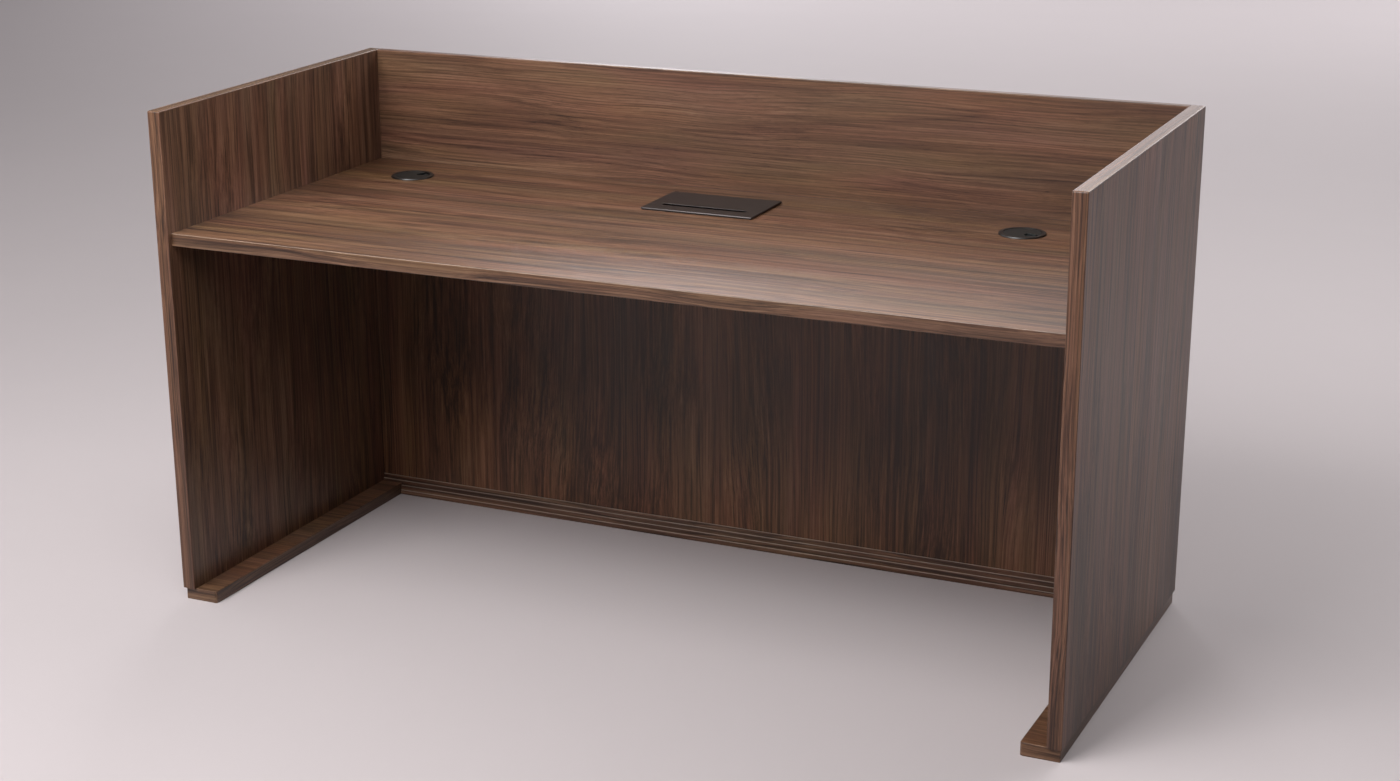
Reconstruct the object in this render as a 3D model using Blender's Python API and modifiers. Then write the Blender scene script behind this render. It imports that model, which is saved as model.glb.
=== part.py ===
"""Judges bench: a desk of laminated boards between full-height end panels, closed at the public side.

Metres, +Z up, +Y towards the public side. The origin is on the floor under the middle of the bench.
"""

import math

import bmesh
import bpy
from mathutils import Matrix, Vector

# Overall sizes
WIDTH = 1.800
DEPTH = 0.790
HEIGHT = 0.985
WORKTOP_HEIGHT = 0.750

# Boards, and the gap that every pair of touching pieces keeps
END_THICKNESS = 0.027
WORKTOP_THICKNESS = 0.025
WORKTOP_SETBACK = 0.010
BACK_THICKNESS = 0.018
MODESTY_THICKNESS = 0.018
MODESTY_STEP = 0.049
BATTEN_WIDTH = 0.045
BATTEN_FROM_END = 0.070
FIT_GAP = 0.0003

# Edge bands
BAND_THICKNESS = 0.002
BAND_RADIUS = 0.0014

# Base rails and the stepped skirting
RAIL_HEIGHT = 0.025
RAIL_WIDTH = 0.072
RAIL_OUTER_INSET = 0.003
RAIL_FRONT_INSET = 0.006
RAIL_CORNER_RADIUS = 0.006
RAIL_ARRIS_SHARE = 0.15
SKIRTING_STEPS = 4
SKIRTING_RISE = 0.010
SKIRTING_TREAD = 0.003
SKIRTING_FLOOR_GAP = 0.0005

# Dowels, screws and cleats
DOWEL_RADIUS = 0.004
DOWEL_IN_END = 0.014
DOWEL_IN_BACK = 0.026
DOWEL_FROM_TOP = 0.110
DOWEL_FROM_BOTTOM = 0.150
RAIL_SCREW_LENGTH = 0.055
RAIL_SCREW_SHANK = 0.0022
RAIL_SCREW_HEAD = 0.0042
RAIL_SCREW_HEAD_HEIGHT = 0.0026
RAIL_SCREW_SUNK = 0.001
RAIL_SCREW_FROM_FRONT = 0.120
BACK_RAIL_SCREW_SPREAD = 0.450
CLEAT_LENGTH = 0.450
CLEAT_LEG = 0.030
CLEAT_THICKNESS = 0.002
CLEAT_SCREW_SPREAD = 0.150
CLEAT_SCREW_STAGGER = 0.030
CLEAT_SCREW_FROM_CORNER = 0.017
CLEAT_SCREW_LENGTH = 0.018
CLEAT_SCREW_SHANK = 0.0018
CLEAT_SCREW_HEAD = 0.0036
CLEAT_SCREW_HEAD_HEIGHT = 0.0022
SCREW_TIP = 0.003

# Cable grommets, heights counted from the worktop's upper face
LEFT_GROMMET_FROM_END = 0.160
RIGHT_GROMMET_FROM_END = 0.265
GROMMET_FROM_BACK = 0.137
GROMMET_HOLE_RADIUS = 0.040
GROMMET_TUBE_CLEARANCE = 0.0004
GROMMET_FLANGE_WIDTH = 0.005
GROMMET_FLANGE_TOP = 0.0030
GROMMET_TUBE_WALL = 0.0022
GROMMET_TUBE_BOTTOM = -0.022
GROMMET_SEAT_WIDTH = 0.0036
GROMMET_SEAT_HEIGHT = -0.0012
GROMMET_SEAT_THICKNESS = 0.0018
GROMMET_COLLAR_WALL = 0.003
CAP_TOP = 0.0024
CAP_CHAMFER = 0.0008
CAP_BOSS_RADIUS = 0.004
CAP_BOSS_BOTTOM = -0.0032
NOTCH_INNER_RADIUS = 0.010
LEFT_NOTCH_HEADING = math.radians(46)
RIGHT_NOTCH_HEADING = math.radians(-35)
SHUTTER_THICKNESS = 0.0015
SHUTTER_HUB_RADIUS = 0.008
SHUTTER_LAP = math.radians(2)
SHUTTER_TRAVEL = math.radians(40)
NIB_FROM_RIM = 0.0027
NIB_LENGTH = 0.006
NIB_WIDTH = 0.003
NIB_CLEARANCE = 0.0002
NIB_TOP = 0.0030
PIVOT_SCREW_HEAD = 0.006
PIVOT_SCREW_HEAD_HEIGHT = 0.0015
PIVOT_SCREW_SHANK = 0.0013
PIVOT_SCREW_LENGTH = 0.0034

# Power box, sunk in the worktop
BOX_OFFSET = -0.019
BOX_FROM_BACK = 0.1545
LID_WIDTH = 0.236
LID_DEPTH = 0.157
LID_THICKNESS = 0.0032
LID_ARRIS = 0.0009
LID_REAR_FLAT = 0.0002
LID_OVERHANG = 0.002
LID_SLOT_LENGTH = 0.178
LID_SLOT_WIDTH = 0.014
LID_SLOT_FROM_FRONT = 0.0425
HINGE_PIN_RADIUS = 0.0007
HINGE_EAR_WIDTH = 0.009
HINGE_EAR_MARGIN = 0.0006
HINGE_SIDE_CLEARANCE = 0.0006
FRAME_FLANGE_WIDTH = 0.015
FRAME_FLANGE_THICKNESS = 0.0012
FRAME_COLLAR_WALL = 0.003
FRAME_COLLAR_DEPTH = 0.014
CUTOUT_CLEARANCE = 0.001
TRAY_DEPTH = 0.065
TRAY_WALL = 0.0012
TRAY_OUTLET_LENGTH = 0.050
TRAY_OUTLET_WIDTH = 0.025
TRAY_OUTLET_MARGIN = 0.009
CLIP_WIDTH = 0.024
CLIP_THICKNESS = 0.0015
CLIP_FOOT = 0.018
CLIP_LEG = 0.026
SOCKET_RAIL_DEPTH = 0.038
SOCKET_RAIL_HEIGHT = 0.052
SOCKET_RAIL_END_GAP = 0.003
SOCKET_SIZE = 0.044
SOCKET_DEPTH = 0.0114
SOCKET_PITCH = 0.050
SOCKET_RECESS_RADIUS = 0.0195
SOCKET_RECESS_DEPTH = 0.009
SOCKET_PIN_HOLE_RADIUS = 0.0024
SOCKET_PIN_SPACING = 0.019
JACK_WIDTH = 0.012
JACK_HEIGHT = 0.010
JACK_SPACING = 0.020
INLET_WIDTH = 0.024
INLET_HEIGHT = 0.020
INLET_DEPTH = 0.012

# Facets: turned pieces that show, hidden fasteners, and rounded edges
SHOWN_SIDES = 48
HIDDEN_SIDES = 10
EDGE_SEGMENTS = 2
ARC_STEPS = 12
CUT_REACH = 0.002
MERGE_DISTANCE = 0.000001

# Planes and faces that pieces share
FRONT = -DEPTH / 2
BACK = DEPTH / 2
INNER_X = WIDTH / 2 - END_THICKNESS
BOARD_BOTTOM = RAIL_HEIGHT + FIT_GAP
BACK_FACE = BACK - BACK_THICKNESS
MODESTY_FACE = BACK_FACE - MODESTY_STEP
MODESTY_REAR = MODESTY_FACE + MODESTY_THICKNESS
UNDERSIDE = WORKTOP_HEIGHT - WORKTOP_THICKNESS
RAIL_INNER_X = WIDTH / 2 - RAIL_OUTER_INSET - RAIL_WIDTH
GROMMET_Y = BACK_FACE - GROMMET_FROM_BACK
BOX_Y = BACK_FACE - BOX_FROM_BACK


for old in list(bpy.data.objects):
    bpy.data.objects.remove(old, do_unlink=True)


def collection(name):
    made = bpy.data.collections.new(name)
    bpy.context.scene.collection.children.link(made)
    return made


PARTS = collection("judges_bench")
CUTTERS = collection("judges_bench_cutters")


def finish(name, colour, roughness, metallic=0.0):
    """A plain material with the piece's own colour."""
    made = bpy.data.materials.new(name)
    made.use_nodes = True
    shader = made.node_tree.nodes["Principled BSDF"]
    shader.inputs["Base Color"].default_value = (*colour, 1.0)
    shader.inputs["Roughness"].default_value = roughness
    shader.inputs["Metallic"].default_value = metallic
    return made


WALNUT = finish("walnut_laminate", (0.145, 0.078, 0.048), 0.42)
WALNUT_EDGE = finish("walnut_edge_band", (0.185, 0.108, 0.068), 0.38)
BARE_WOOD = finish("bare_pine", (0.56, 0.40, 0.24), 0.7)
BLACK_PLASTIC = finish("black_plastic", (0.022, 0.023, 0.022), 0.45)
BRONZE = finish("bronze_metal", (0.055, 0.046, 0.044), 0.38, 0.8)
STEEL = finish("zinc_steel", (0.55, 0.55, 0.56), 0.35, 1.0)
TRAY_METAL = finish("grey_painted_metal", (0.10, 0.10, 0.105), 0.5, 0.4)
SOCKET_PLASTIC = finish("grey_plastic", (0.16, 0.16, 0.165), 0.5)


def place(name, mesh, material=None, location=(0.0, 0.0, 0.0)):
    """A mesh as a named part, or as a cutter where it has no material."""
    piece = bpy.data.objects.new(name, mesh)
    piece.location = location
    if material:
        mesh.materials.append(material)
        PARTS.objects.link(piece)
    else:
        piece.hide_render = True
        piece.display_type = "WIRE"
        CUTTERS.objects.link(piece)
    return piece


def on_sides(edge, sides):
    """True where an edge of a unit cube lies on every side named, such as "+z" or "-y+x"."""
    for sign, axis in zip(sides[::2], sides[1::2]):
        outward = 1 if sign == "+" else -1
        if any(vertex.co["xyz".index(axis)] * outward < 0 for vertex in edge.verts):
            return False
    return True


def block(name, low, high, material=None, rounding=None, radius=0.0, origin=None):
    """A rectangular solid between two corners. rounding gives, for the edges on the sides that it
    names, the share of radius that they are rounded by."""
    low = Vector(low)
    high = Vector(high)
    centre = (low + high) / 2
    origin = Vector(origin) if origin else centre
    cube = bmesh.new()
    bmesh.ops.create_cube(cube, size=1.0)
    if rounding:
        weight = cube.edges.layers.float.new("bevel_weight_edge")
        for edge in cube.edges:
            edge[weight] = max([share for sides, share in rounding.items() if on_sides(edge, sides)] + [0.0])
    bmesh.ops.scale(cube, vec=high - low, verts=cube.verts)
    bmesh.ops.translate(cube, vec=centre - origin, verts=cube.verts)
    mesh = bpy.data.meshes.new(name)
    cube.to_mesh(mesh)
    cube.free()
    piece = place(name, mesh, material, origin)
    if rounding:
        bevel = piece.modifiers.new("Rounded edges", "BEVEL")
        bevel.limit_method = "WEIGHT"
        bevel.width = radius
        bevel.segments = EDGE_SEGMENTS
    return piece


def turned(name, profile, material=None, location=(0.0, 0.0, 0.0), heading=(0, 0, 1), sides=HIDDEN_SIDES,
           ring=False):
    """A profile of (radius, height) points, from the top down its outer side, turned about its axis."""
    last = len(profile) - 1
    edges = [(i, i + 1) for i in range(last)]
    if ring:
        edges.append((last, 0))
    mesh = bpy.data.meshes.new(name)
    mesh.from_pydata([(radius, 0.0, height) for radius, height in profile], edges, [])
    piece = place(name, mesh, material, location)
    piece.rotation_mode = "QUATERNION"
    piece.rotation_quaternion = Vector((0, 0, 1)).rotation_difference(Vector(heading))
    screw = piece.modifiers.new("Turned", "SCREW")
    screw.steps = sides
    screw.render_steps = sides
    screw.use_merge_vertices = True
    screw.merge_threshold = MERGE_DISTANCE
    return piece


def rod(name, radius, low, high, material=None, location=(0.0, 0.0, 0.0), heading=(0, 0, 1),
        sides=HIDDEN_SIDES):
    profile = [(0.0, high), (radius, high), (radius, low), (0.0, low)]
    return turned(name, profile, material, location, heading, sides)


def extruded(name, outline, thickness, placing, material=None):
    """A flat outline, in the placing's first two axes, with half its thickness to each side."""
    curve = bpy.data.curves.new(name, "CURVE")
    curve.dimensions = "2D"
    curve.fill_mode = "BOTH"
    curve.extrude = thickness / 2
    spline = curve.splines.new("POLY")
    spline.points.add(len(outline) - 1)
    spline.use_cyclic_u = True
    for point, (across, up) in zip(spline.points, outline):
        point.co = (across, up, 0.0, 1.0)
    flat = bpy.data.objects.new(name + "_outline", curve)
    CUTTERS.objects.link(flat)
    graph = bpy.context.evaluated_depsgraph_get()
    mesh = bpy.data.meshes.new_from_object(flat.evaluated_get(graph))
    bpy.data.objects.remove(flat, do_unlink=True)
    welded = bmesh.new()
    welded.from_mesh(mesh)
    bmesh.ops.remove_doubles(welded, verts=welded.verts, dist=MERGE_DISTANCE)
    bmesh.ops.recalc_face_normals(welded, faces=welded.faces)
    welded.to_mesh(mesh)
    welded.free()
    mesh.name = name
    piece = place(name, mesh, material)
    piece.matrix_world = placing
    return piece


def placing(origin, across, up):
    """The frame whose first axis is across and whose second is up."""
    across = Vector(across)
    up = Vector(up)
    turn = Matrix((across, up, across.cross(up))).transposed().to_4x4()
    return Matrix.Translation(origin) @ turn


def boolean(piece, operation, others):
    for other in others:
        change = piece.modifiers.new(operation.title() + " " + other.name, "BOOLEAN")
        change.operation = operation
        change.solver = "EXACT"
        change.object = other


def cut(piece, *cutters):
    boolean(piece, "DIFFERENCE", cutters)


def join(piece, *helpers):
    boolean(piece, "UNION", helpers)


def arc(radius, start, end, steps=ARC_STEPS):
    """Points on a circle about the origin, from one angle to another."""
    angles = [start + (end - start) * i / steps for i in range(steps + 1)]
    return [(radius * math.cos(angle), radius * math.sin(angle)) for angle in angles]


def end_panel(side, name):
    """A full-height end panel with bands on its front, top and back edges. side is -1 or 1."""
    xs = sorted((side * INNER_X, side * WIDTH / 2))
    core_front = FRONT + BAND_THICKNESS + FIT_GAP
    core_back = BACK - BAND_THICKNESS - FIT_GAP
    core_top = HEIGHT - BAND_THICKNESS - FIT_GAP
    panel = block(f"{name}_end_panel", (xs[0], core_front, BOARD_BOTTOM), (xs[1], core_back, core_top),
                  WALNUT)
    block(f"{name}_front_edge_band", (xs[0], FRONT, BOARD_BOTTOM), (xs[1], FRONT + BAND_THICKNESS, HEIGHT),
          WALNUT_EDGE, {"-y": 1.0, "+z": 1.0}, BAND_RADIUS)
    block(f"{name}_top_edge_band", (xs[0], core_front, HEIGHT - BAND_THICKNESS), (xs[1], core_back, HEIGHT),
          WALNUT_EDGE, {"+z-x": 1.0, "+z+x": 1.0}, BAND_RADIUS)
    block(f"{name}_back_edge_band", (xs[0], BACK - BAND_THICKNESS, BOARD_BOTTOM), (xs[1], BACK, HEIGHT),
          WALNUT_EDGE, {"+y": 1.0, "+z": 1.0}, BAND_RADIUS)
    return panel


def side_rail(side, name):
    """A base rail under an end panel. It stands proud of the panel on the knee side."""
    xs = sorted((side * RAIL_INNER_X, side * (WIDTH / 2 - RAIL_OUTER_INSET)))
    knee = "-x" if side > 0 else "+x"
    rounding = {"-y" + knee: 1.0, "+z-y": RAIL_ARRIS_SHARE, "+z" + knee: RAIL_ARRIS_SHARE}
    return block(f"{name}_base_rail", (xs[0], FRONT + RAIL_FRONT_INSET, 0.0),
                 (xs[1], BACK - RAIL_OUTER_INSET, RAIL_HEIGHT), WALNUT, rounding, RAIL_CORNER_RADIUS)


left_panel = end_panel(-1, "left")
right_panel = end_panel(1, "right")
left_rail = side_rail(-1, "left")
right_rail = side_rail(1, "right")

board_end = INNER_X - FIT_GAP
worktop_front = FRONT + WORKTOP_SETBACK
worktop = block("worktop", (-board_end, worktop_front + BAND_THICKNESS + FIT_GAP, UNDERSIDE),
                (board_end, BACK_FACE - FIT_GAP, WORKTOP_HEIGHT), WALNUT)
block("worktop_front_edge_band", (-board_end, worktop_front, UNDERSIDE),
      (board_end, worktop_front + BAND_THICKNESS, WORKTOP_HEIGHT), WALNUT_EDGE, {"-y+z": 1.0, "-y-z": 1.0},
      BAND_RADIUS)
back_panel = block("back_panel", (-board_end, BACK_FACE, BOARD_BOTTOM),
                   (board_end, BACK, HEIGHT - BAND_THICKNESS - FIT_GAP), WALNUT)
block("back_top_edge_band", (-board_end, BACK_FACE, HEIGHT - BAND_THICKNESS), (board_end, BACK, HEIGHT),
      WALNUT_EDGE, {"+z-y": 1.0, "+z+y": 1.0}, BAND_RADIUS)
modesty_panel = block("modesty_panel", (-board_end, MODESTY_FACE, BOARD_BOTTOM),
                      (board_end, MODESTY_REAR, UNDERSIDE - FIT_GAP), WALNUT)
back_rail_end = RAIL_INNER_X - FIT_GAP
back_rail = block("back_base_rail", (-back_rail_end, MODESTY_FACE, 0.0),
                  (back_rail_end, BACK - RAIL_OUTER_INSET, RAIL_HEIGHT), WALNUT)

# Battens hold the modesty panel off the back panel
batten_x = INNER_X - BATTEN_FROM_END
for batten_name, x in (("left", -batten_x), ("centre", 0.0), ("right", batten_x)):
    block(f"{batten_name}_spacer_batten", (x - BATTEN_WIDTH / 2, MODESTY_REAR + FIT_GAP, BOARD_BOTTOM),
          (x + BATTEN_WIDTH / 2, BACK_FACE - FIT_GAP, UNDERSIDE - FIT_GAP), BARE_WOOD)


def skirting_outline():
    """The skirting's section: distance out from the modesty panel, and height, one step at a time."""
    outline = [(0.0, SKIRTING_FLOOR_GAP)]
    height = SKIRTING_FLOOR_GAP
    for step in range(SKIRTING_STEPS):
        out = SKIRTING_TREAD * (SKIRTING_STEPS - step)
        outline.append((out, height))
        height = SKIRTING_RISE * (step + 1)
        outline.append((out, height))
    outline.append((0.0, height))
    return outline


skirting = extruded("stepped_skirting", skirting_outline(), 2 * board_end,
                    placing((0.0, MODESTY_FACE - FIT_GAP, 0.0), (0, -1, 0), (0, 0, 1)), WALNUT)
skirting_front = MODESTY_FACE - SKIRTING_TREAD * SKIRTING_STEPS - FIT_GAP
for side in (-1, 1):
    # The skirting's ends are notched to sit over the side rails
    xs = sorted((side * (RAIL_INNER_X - FIT_GAP), side * (INNER_X + CUT_REACH)))
    cut(skirting, block(f"rail_notch_{side}", (xs[0], skirting_front - CUT_REACH, -CUT_REACH),
                        (xs[1], MODESTY_FACE + CUT_REACH, RAIL_HEIGHT + FIT_GAP)))


def dowel(name, point, side, boards):
    """A beech dowel across the joint between an end panel and the back panel."""
    rod(name, DOWEL_RADIUS, -DOWEL_IN_BACK, DOWEL_IN_END, BARE_WOOD, point, (side, 0, 0))
    hole = rod(name + "_hole", DOWEL_RADIUS + FIT_GAP, -DOWEL_IN_BACK - FIT_GAP, DOWEL_IN_END + FIT_GAP,
               None, point, (side, 0, 0))
    for board in boards:
        cut(board, hole)


def sunk_screw(name, point, boards):
    """A countersunk screw driven upwards, its head's top at point."""
    shank_top = RAIL_SCREW_LENGTH - SCREW_TIP
    profile = [(0.0, RAIL_SCREW_LENGTH), (RAIL_SCREW_SHANK, shank_top),
               (RAIL_SCREW_SHANK, RAIL_SCREW_HEAD_HEIGHT), (RAIL_SCREW_HEAD, 0.0), (0.0, 0.0)]
    turned(name, profile, STEEL, point)
    shank = RAIL_SCREW_SHANK + FIT_GAP
    head = RAIL_SCREW_HEAD + FIT_GAP
    end = RAIL_SCREW_LENGTH + FIT_GAP
    below = -RAIL_SCREW_SUNK - CUT_REACH
    hole = turned(name + "_hole", [(0.0, end), (shank, end), (shank, RAIL_SCREW_HEAD_HEIGHT), (head, 0.0),
                                   (head, below), (0.0, below)], None, point)
    for board in boards:
        cut(board, hole)


def pan_screw(name, seat, heading, boards):
    """A pan-head screw that seats on a steel leg at seat and drives along heading."""
    under = -FIT_GAP
    top = under - CLEAT_SCREW_HEAD_HEIGHT
    turned(name, [(0.0, CLEAT_SCREW_LENGTH), (CLEAT_SCREW_SHANK, CLEAT_SCREW_LENGTH - SCREW_TIP),
                  (CLEAT_SCREW_SHANK, under), (CLEAT_SCREW_HEAD, under), (CLEAT_SCREW_HEAD, top), (0.0, top)],
           STEEL, seat, heading)
    hole = rod(name + "_hole", CLEAT_SCREW_SHANK + FIT_GAP, -CUT_REACH, CLEAT_SCREW_LENGTH + FIT_GAP, None,
               seat, heading)
    for board in boards:
        cut(board, hole)


dowel_heights = {"lower": DOWEL_FROM_BOTTOM, "upper": HEIGHT - DOWEL_FROM_TOP}
dowel_y = (BACK_FACE + BACK) / 2
for side, name, panel in ((-1, "left", left_panel), (1, "right", right_panel)):
    for level, height in dowel_heights.items():
        dowel(f"{name}_{level}_dowel", (side * INNER_X, dowel_y, height), side, (panel, back_panel))

panel_middle = WIDTH / 2 - END_THICKNESS / 2
for side, name, panel, rail in ((-1, "left", left_panel, left_rail), (1, "right", right_panel, right_rail)):
    for end, y in (("front", FRONT + RAIL_SCREW_FROM_FRONT), ("rear", MODESTY_FACE - RAIL_SCREW_FROM_FRONT)):
        sunk_screw(f"{name}_rail_{end}_screw", (side * panel_middle, y, RAIL_SCREW_SUNK), (rail, panel))
modesty_middle = (MODESTY_FACE + MODESTY_REAR) / 2
for side, name in ((-1, "left"), (1, "right")):
    sunk_screw(f"back_rail_{name}_screw", (side * BACK_RAIL_SCREW_SPREAD, modesty_middle, RAIL_SCREW_SUNK),
               (back_rail, modesty_panel))


def cleat(side, name, panel):
    """A steel angle in the corner between an end panel and the worktop, with two screws into each."""
    middle = (worktop_front + MODESTY_FACE) / 2
    corner = Vector((side * (INNER_X - FIT_GAP), middle, UNDERSIDE - FIT_GAP))
    outline = [(0, 0), (CLEAT_LEG, 0), (CLEAT_LEG, CLEAT_THICKNESS), (CLEAT_THICKNESS, CLEAT_THICKNESS),
               (CLEAT_THICKNESS, CLEAT_LEG), (0, CLEAT_LEG)]
    angle = extruded(f"{name}_worktop_cleat", outline, CLEAT_LENGTH,
                     placing(corner, (-side, 0, 0), (0, 0, -1)), STEEL)
    for end, way in (("front", -1), ("rear", 1)):
        y = way * CLEAT_SCREW_SPREAD
        on_panel = corner + Vector((-side * CLEAT_THICKNESS, y, -CLEAT_SCREW_FROM_CORNER))
        pan_screw(f"{name}_cleat_panel_{end}_screw", on_panel, (side, 0, 0), (angle, panel))
        under_top = corner + Vector((-side * CLEAT_SCREW_FROM_CORNER, y + way * CLEAT_SCREW_STAGGER,
                                     -CLEAT_THICKNESS))
        pan_screw(f"{name}_cleat_worktop_{end}_screw", under_top, (0, 0, 1), (angle, worktop))


cleat(-1, "left", left_panel)
cleat(1, "right", right_panel)

# Grommet radii, from the hole in the worktop inwards
tube_outer = GROMMET_HOLE_RADIUS - GROMMET_TUBE_CLEARANCE
collar_inner = tube_outer - GROMMET_COLLAR_WALL
seat_inner = collar_inner - GROMMET_SEAT_WIDTH
flange_outer = GROMMET_HOLE_RADIUS + GROMMET_FLANGE_WIDTH
cap_radius = collar_inner - FIT_GAP
cap_bottom = GROMMET_SEAT_HEIGHT + FIT_GAP
shutter_radius = seat_inner - FIT_GAP
shutter_top = cap_bottom - FIT_GAP
shutter_bottom = shutter_top - SHUTTER_THICKNESS

# The nib swings from one side of the notch to the other, and the shut shutter laps the notch
nib_outer = shutter_radius - NIB_FROM_RIM
nib_inner = nib_outer - NIB_LENGTH
notch_half_angle = SHUTTER_TRAVEL / 2 + math.asin((NIB_WIDTH / 2 + NIB_CLEARANCE) / nib_inner)
shutter_half_angle = notch_half_angle + SHUTTER_LAP


def grommet_liner(name, centre):
    """The fixed liner: a flange on the worktop, a tube in the hole, and a narrow seat for the cap."""
    tube_inner = tube_outer - GROMMET_TUBE_WALL
    seat_bottom = GROMMET_SEAT_HEIGHT - GROMMET_SEAT_THICKNESS
    crown = GROMMET_FLANGE_WIDTH / 2
    profile = [(collar_inner, GROMMET_FLANGE_TOP), (flange_outer - crown, GROMMET_FLANGE_TOP)]
    profile += [(flange_outer - crown + crown * math.sin(turn), FIT_GAP + (GROMMET_FLANGE_TOP - FIT_GAP)
                 * math.cos(turn)) for turn in (math.radians(30), math.radians(60), math.radians(90))]
    profile += [(tube_outer, FIT_GAP), (tube_outer, GROMMET_TUBE_BOTTOM), (tube_inner, GROMMET_TUBE_BOTTOM),
                (tube_inner, seat_bottom), (seat_inner, seat_bottom), (seat_inner, GROMMET_SEAT_HEIGHT),
                (collar_inner, GROMMET_SEAT_HEIGHT)]
    turned(f"{name}_grommet_liner", profile, BLACK_PLASTIC, centre, sides=SHOWN_SIDES, ring=True)


def grommet_cap(name, centre, notch_heading):
    """The cap, which turns in the liner. Cables leave through its notch."""
    rim = cap_radius - CAP_CHAMFER
    profile = [(0.0, CAP_TOP), (rim, CAP_TOP), (cap_radius, CAP_TOP - CAP_CHAMFER), (cap_radius, cap_bottom),
               (CAP_BOSS_RADIUS, cap_bottom), (CAP_BOSS_RADIUS, CAP_BOSS_BOTTOM), (0.0, CAP_BOSS_BOTTOM)]
    cap = turned(f"{name}_grommet_cap", profile, BLACK_PLASTIC, centre, sides=SHOWN_SIDES)
    far = cap_radius + CUT_REACH
    ends = (notch_heading - notch_half_angle, notch_heading + notch_half_angle)
    outline = arc(NOTCH_INNER_RADIUS, ends[1], ends[0]) + arc(far, ends[0], ends[1])
    notch_depth = CAP_TOP - cap_bottom + 2 * CUT_REACH
    notch_centre = centre + Vector((0, 0, (CAP_TOP + cap_bottom) / 2))
    cut(cap, extruded(f"{name}_notch", outline, notch_depth, Matrix.Translation(notch_centre)))
    cut(cap, rod(f"{name}_pivot_hole", PIVOT_SCREW_SHANK + FIT_GAP, CAP_BOSS_BOTTOM - CUT_REACH,
                 CAP_BOSS_BOTTOM + PIVOT_SCREW_LENGTH + FIT_GAP, None, centre))


def grommet_shutter(name, centre, heading):
    """A paddle under the cap that shuts the notch, with a thumb nib standing up through it."""
    ends = (heading - shutter_half_angle, heading + shutter_half_angle)
    outline = arc(shutter_radius, ends[0], ends[1])
    outline += arc(SHUTTER_HUB_RADIUS, ends[1], ends[0] + 2 * math.pi, 2 * ARC_STEPS)
    level = centre + Vector((0, 0, (shutter_top + shutter_bottom) / 2))
    shutter = extruded(f"{name}_grommet_shutter", outline, SHUTTER_THICKNESS, Matrix.Translation(level),
                       BLACK_PLASTIC)
    nib_bottom = shutter_bottom + SHUTTER_THICKNESS / 2
    nib = block(f"{name}_nib", (nib_inner, -NIB_WIDTH / 2, nib_bottom),
                (nib_outer, NIB_WIDTH / 2, NIB_TOP), origin=(0.0, 0.0, 0.0))
    nib.location = centre
    nib.rotation_euler.z = heading + SHUTTER_TRAVEL / 2
    join(shutter, nib)
    cut(shutter, rod(f"{name}_hub_hole", CAP_BOSS_RADIUS + FIT_GAP, shutter_bottom - CUT_REACH,
                     shutter_top + CUT_REACH, None, centre))


def pivot_screw(name, centre):
    """The screw in the cap's boss that keeps the shutter up."""
    seat = CAP_BOSS_BOTTOM - FIT_GAP
    bottom = seat - PIVOT_SCREW_HEAD_HEIGHT
    tip = CAP_BOSS_BOTTOM + PIVOT_SCREW_LENGTH
    profile = [(0.0, tip), (PIVOT_SCREW_SHANK, tip), (PIVOT_SCREW_SHANK, seat), (PIVOT_SCREW_HEAD, seat),
               (PIVOT_SCREW_HEAD, bottom), (0.0, bottom)]
    turned(f"{name}_shutter_screw", profile, STEEL, centre)


def grommet(name, x, notch_heading, shutter_heading):
    centre = Vector((x, GROMMET_Y, WORKTOP_HEIGHT))
    cut(worktop, rod(f"{name}_grommet_hole", GROMMET_HOLE_RADIUS, -WORKTOP_THICKNESS - CUT_REACH, CUT_REACH,
                     None, centre, sides=SHOWN_SIDES))
    grommet_liner(name, centre)
    grommet_cap(name, centre, notch_heading)
    grommet_shutter(name, centre, shutter_heading)
    pivot_screw(name, centre)


# The left shutter stands open and the right one shut
grommet("left", -INNER_X + LEFT_GROMMET_FROM_END, LEFT_NOTCH_HEADING, LEFT_NOTCH_HEADING - SHUTTER_TRAVEL)
grommet("right", INNER_X - RIGHT_GROMMET_FROM_END, RIGHT_NOTCH_HEADING, RIGHT_NOTCH_HEADING)


def around(half_width, half_depth, bottom, top):
    """Two corners of a box centred on the power box, heights counted from the worktop's upper face."""
    centre = Vector((BOX_OFFSET, BOX_Y, WORKTOP_HEIGHT))
    return centre + Vector((-half_width, -half_depth, bottom)), centre + Vector((half_width, half_depth, top))


# Power box sizes, from the lid inwards, and its heights above the worktop
lid_half = (LID_WIDTH / 2, LID_DEPTH / 2)
flange_half = (lid_half[0] - LID_OVERHANG, lid_half[1] - LID_OVERHANG)
opening_half = (flange_half[0] - FRAME_FLANGE_WIDTH, flange_half[1] - FRAME_FLANGE_WIDTH)
collar_half = (opening_half[0] + FRAME_COLLAR_WALL, opening_half[1] + FRAME_COLLAR_WALL)
tray_half = (opening_half[0] - FIT_GAP, opening_half[1] - FIT_GAP)
tray_inner_half = (tray_half[0] - TRAY_WALL, tray_half[1] - TRAY_WALL)
flange_top = FIT_GAP + FRAME_FLANGE_THICKNESS
lid_bottom = flange_top + FIT_GAP
lid_top = lid_bottom + LID_THICKNESS
barrel_radius = LID_THICKNESS / 2
hinge_round = barrel_radius - LID_REAR_FLAT / 2
hinge = Vector((BOX_OFFSET, BOX_Y + lid_half[1] - barrel_radius, WORKTOP_HEIGHT + lid_bottom + barrel_radius))
pin_hole_radius = HINGE_PIN_RADIUS + FIT_GAP
ear_outer = flange_half[0] - HINGE_EAR_MARGIN
ear_inner = ear_outer - HINGE_EAR_WIDTH

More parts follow.
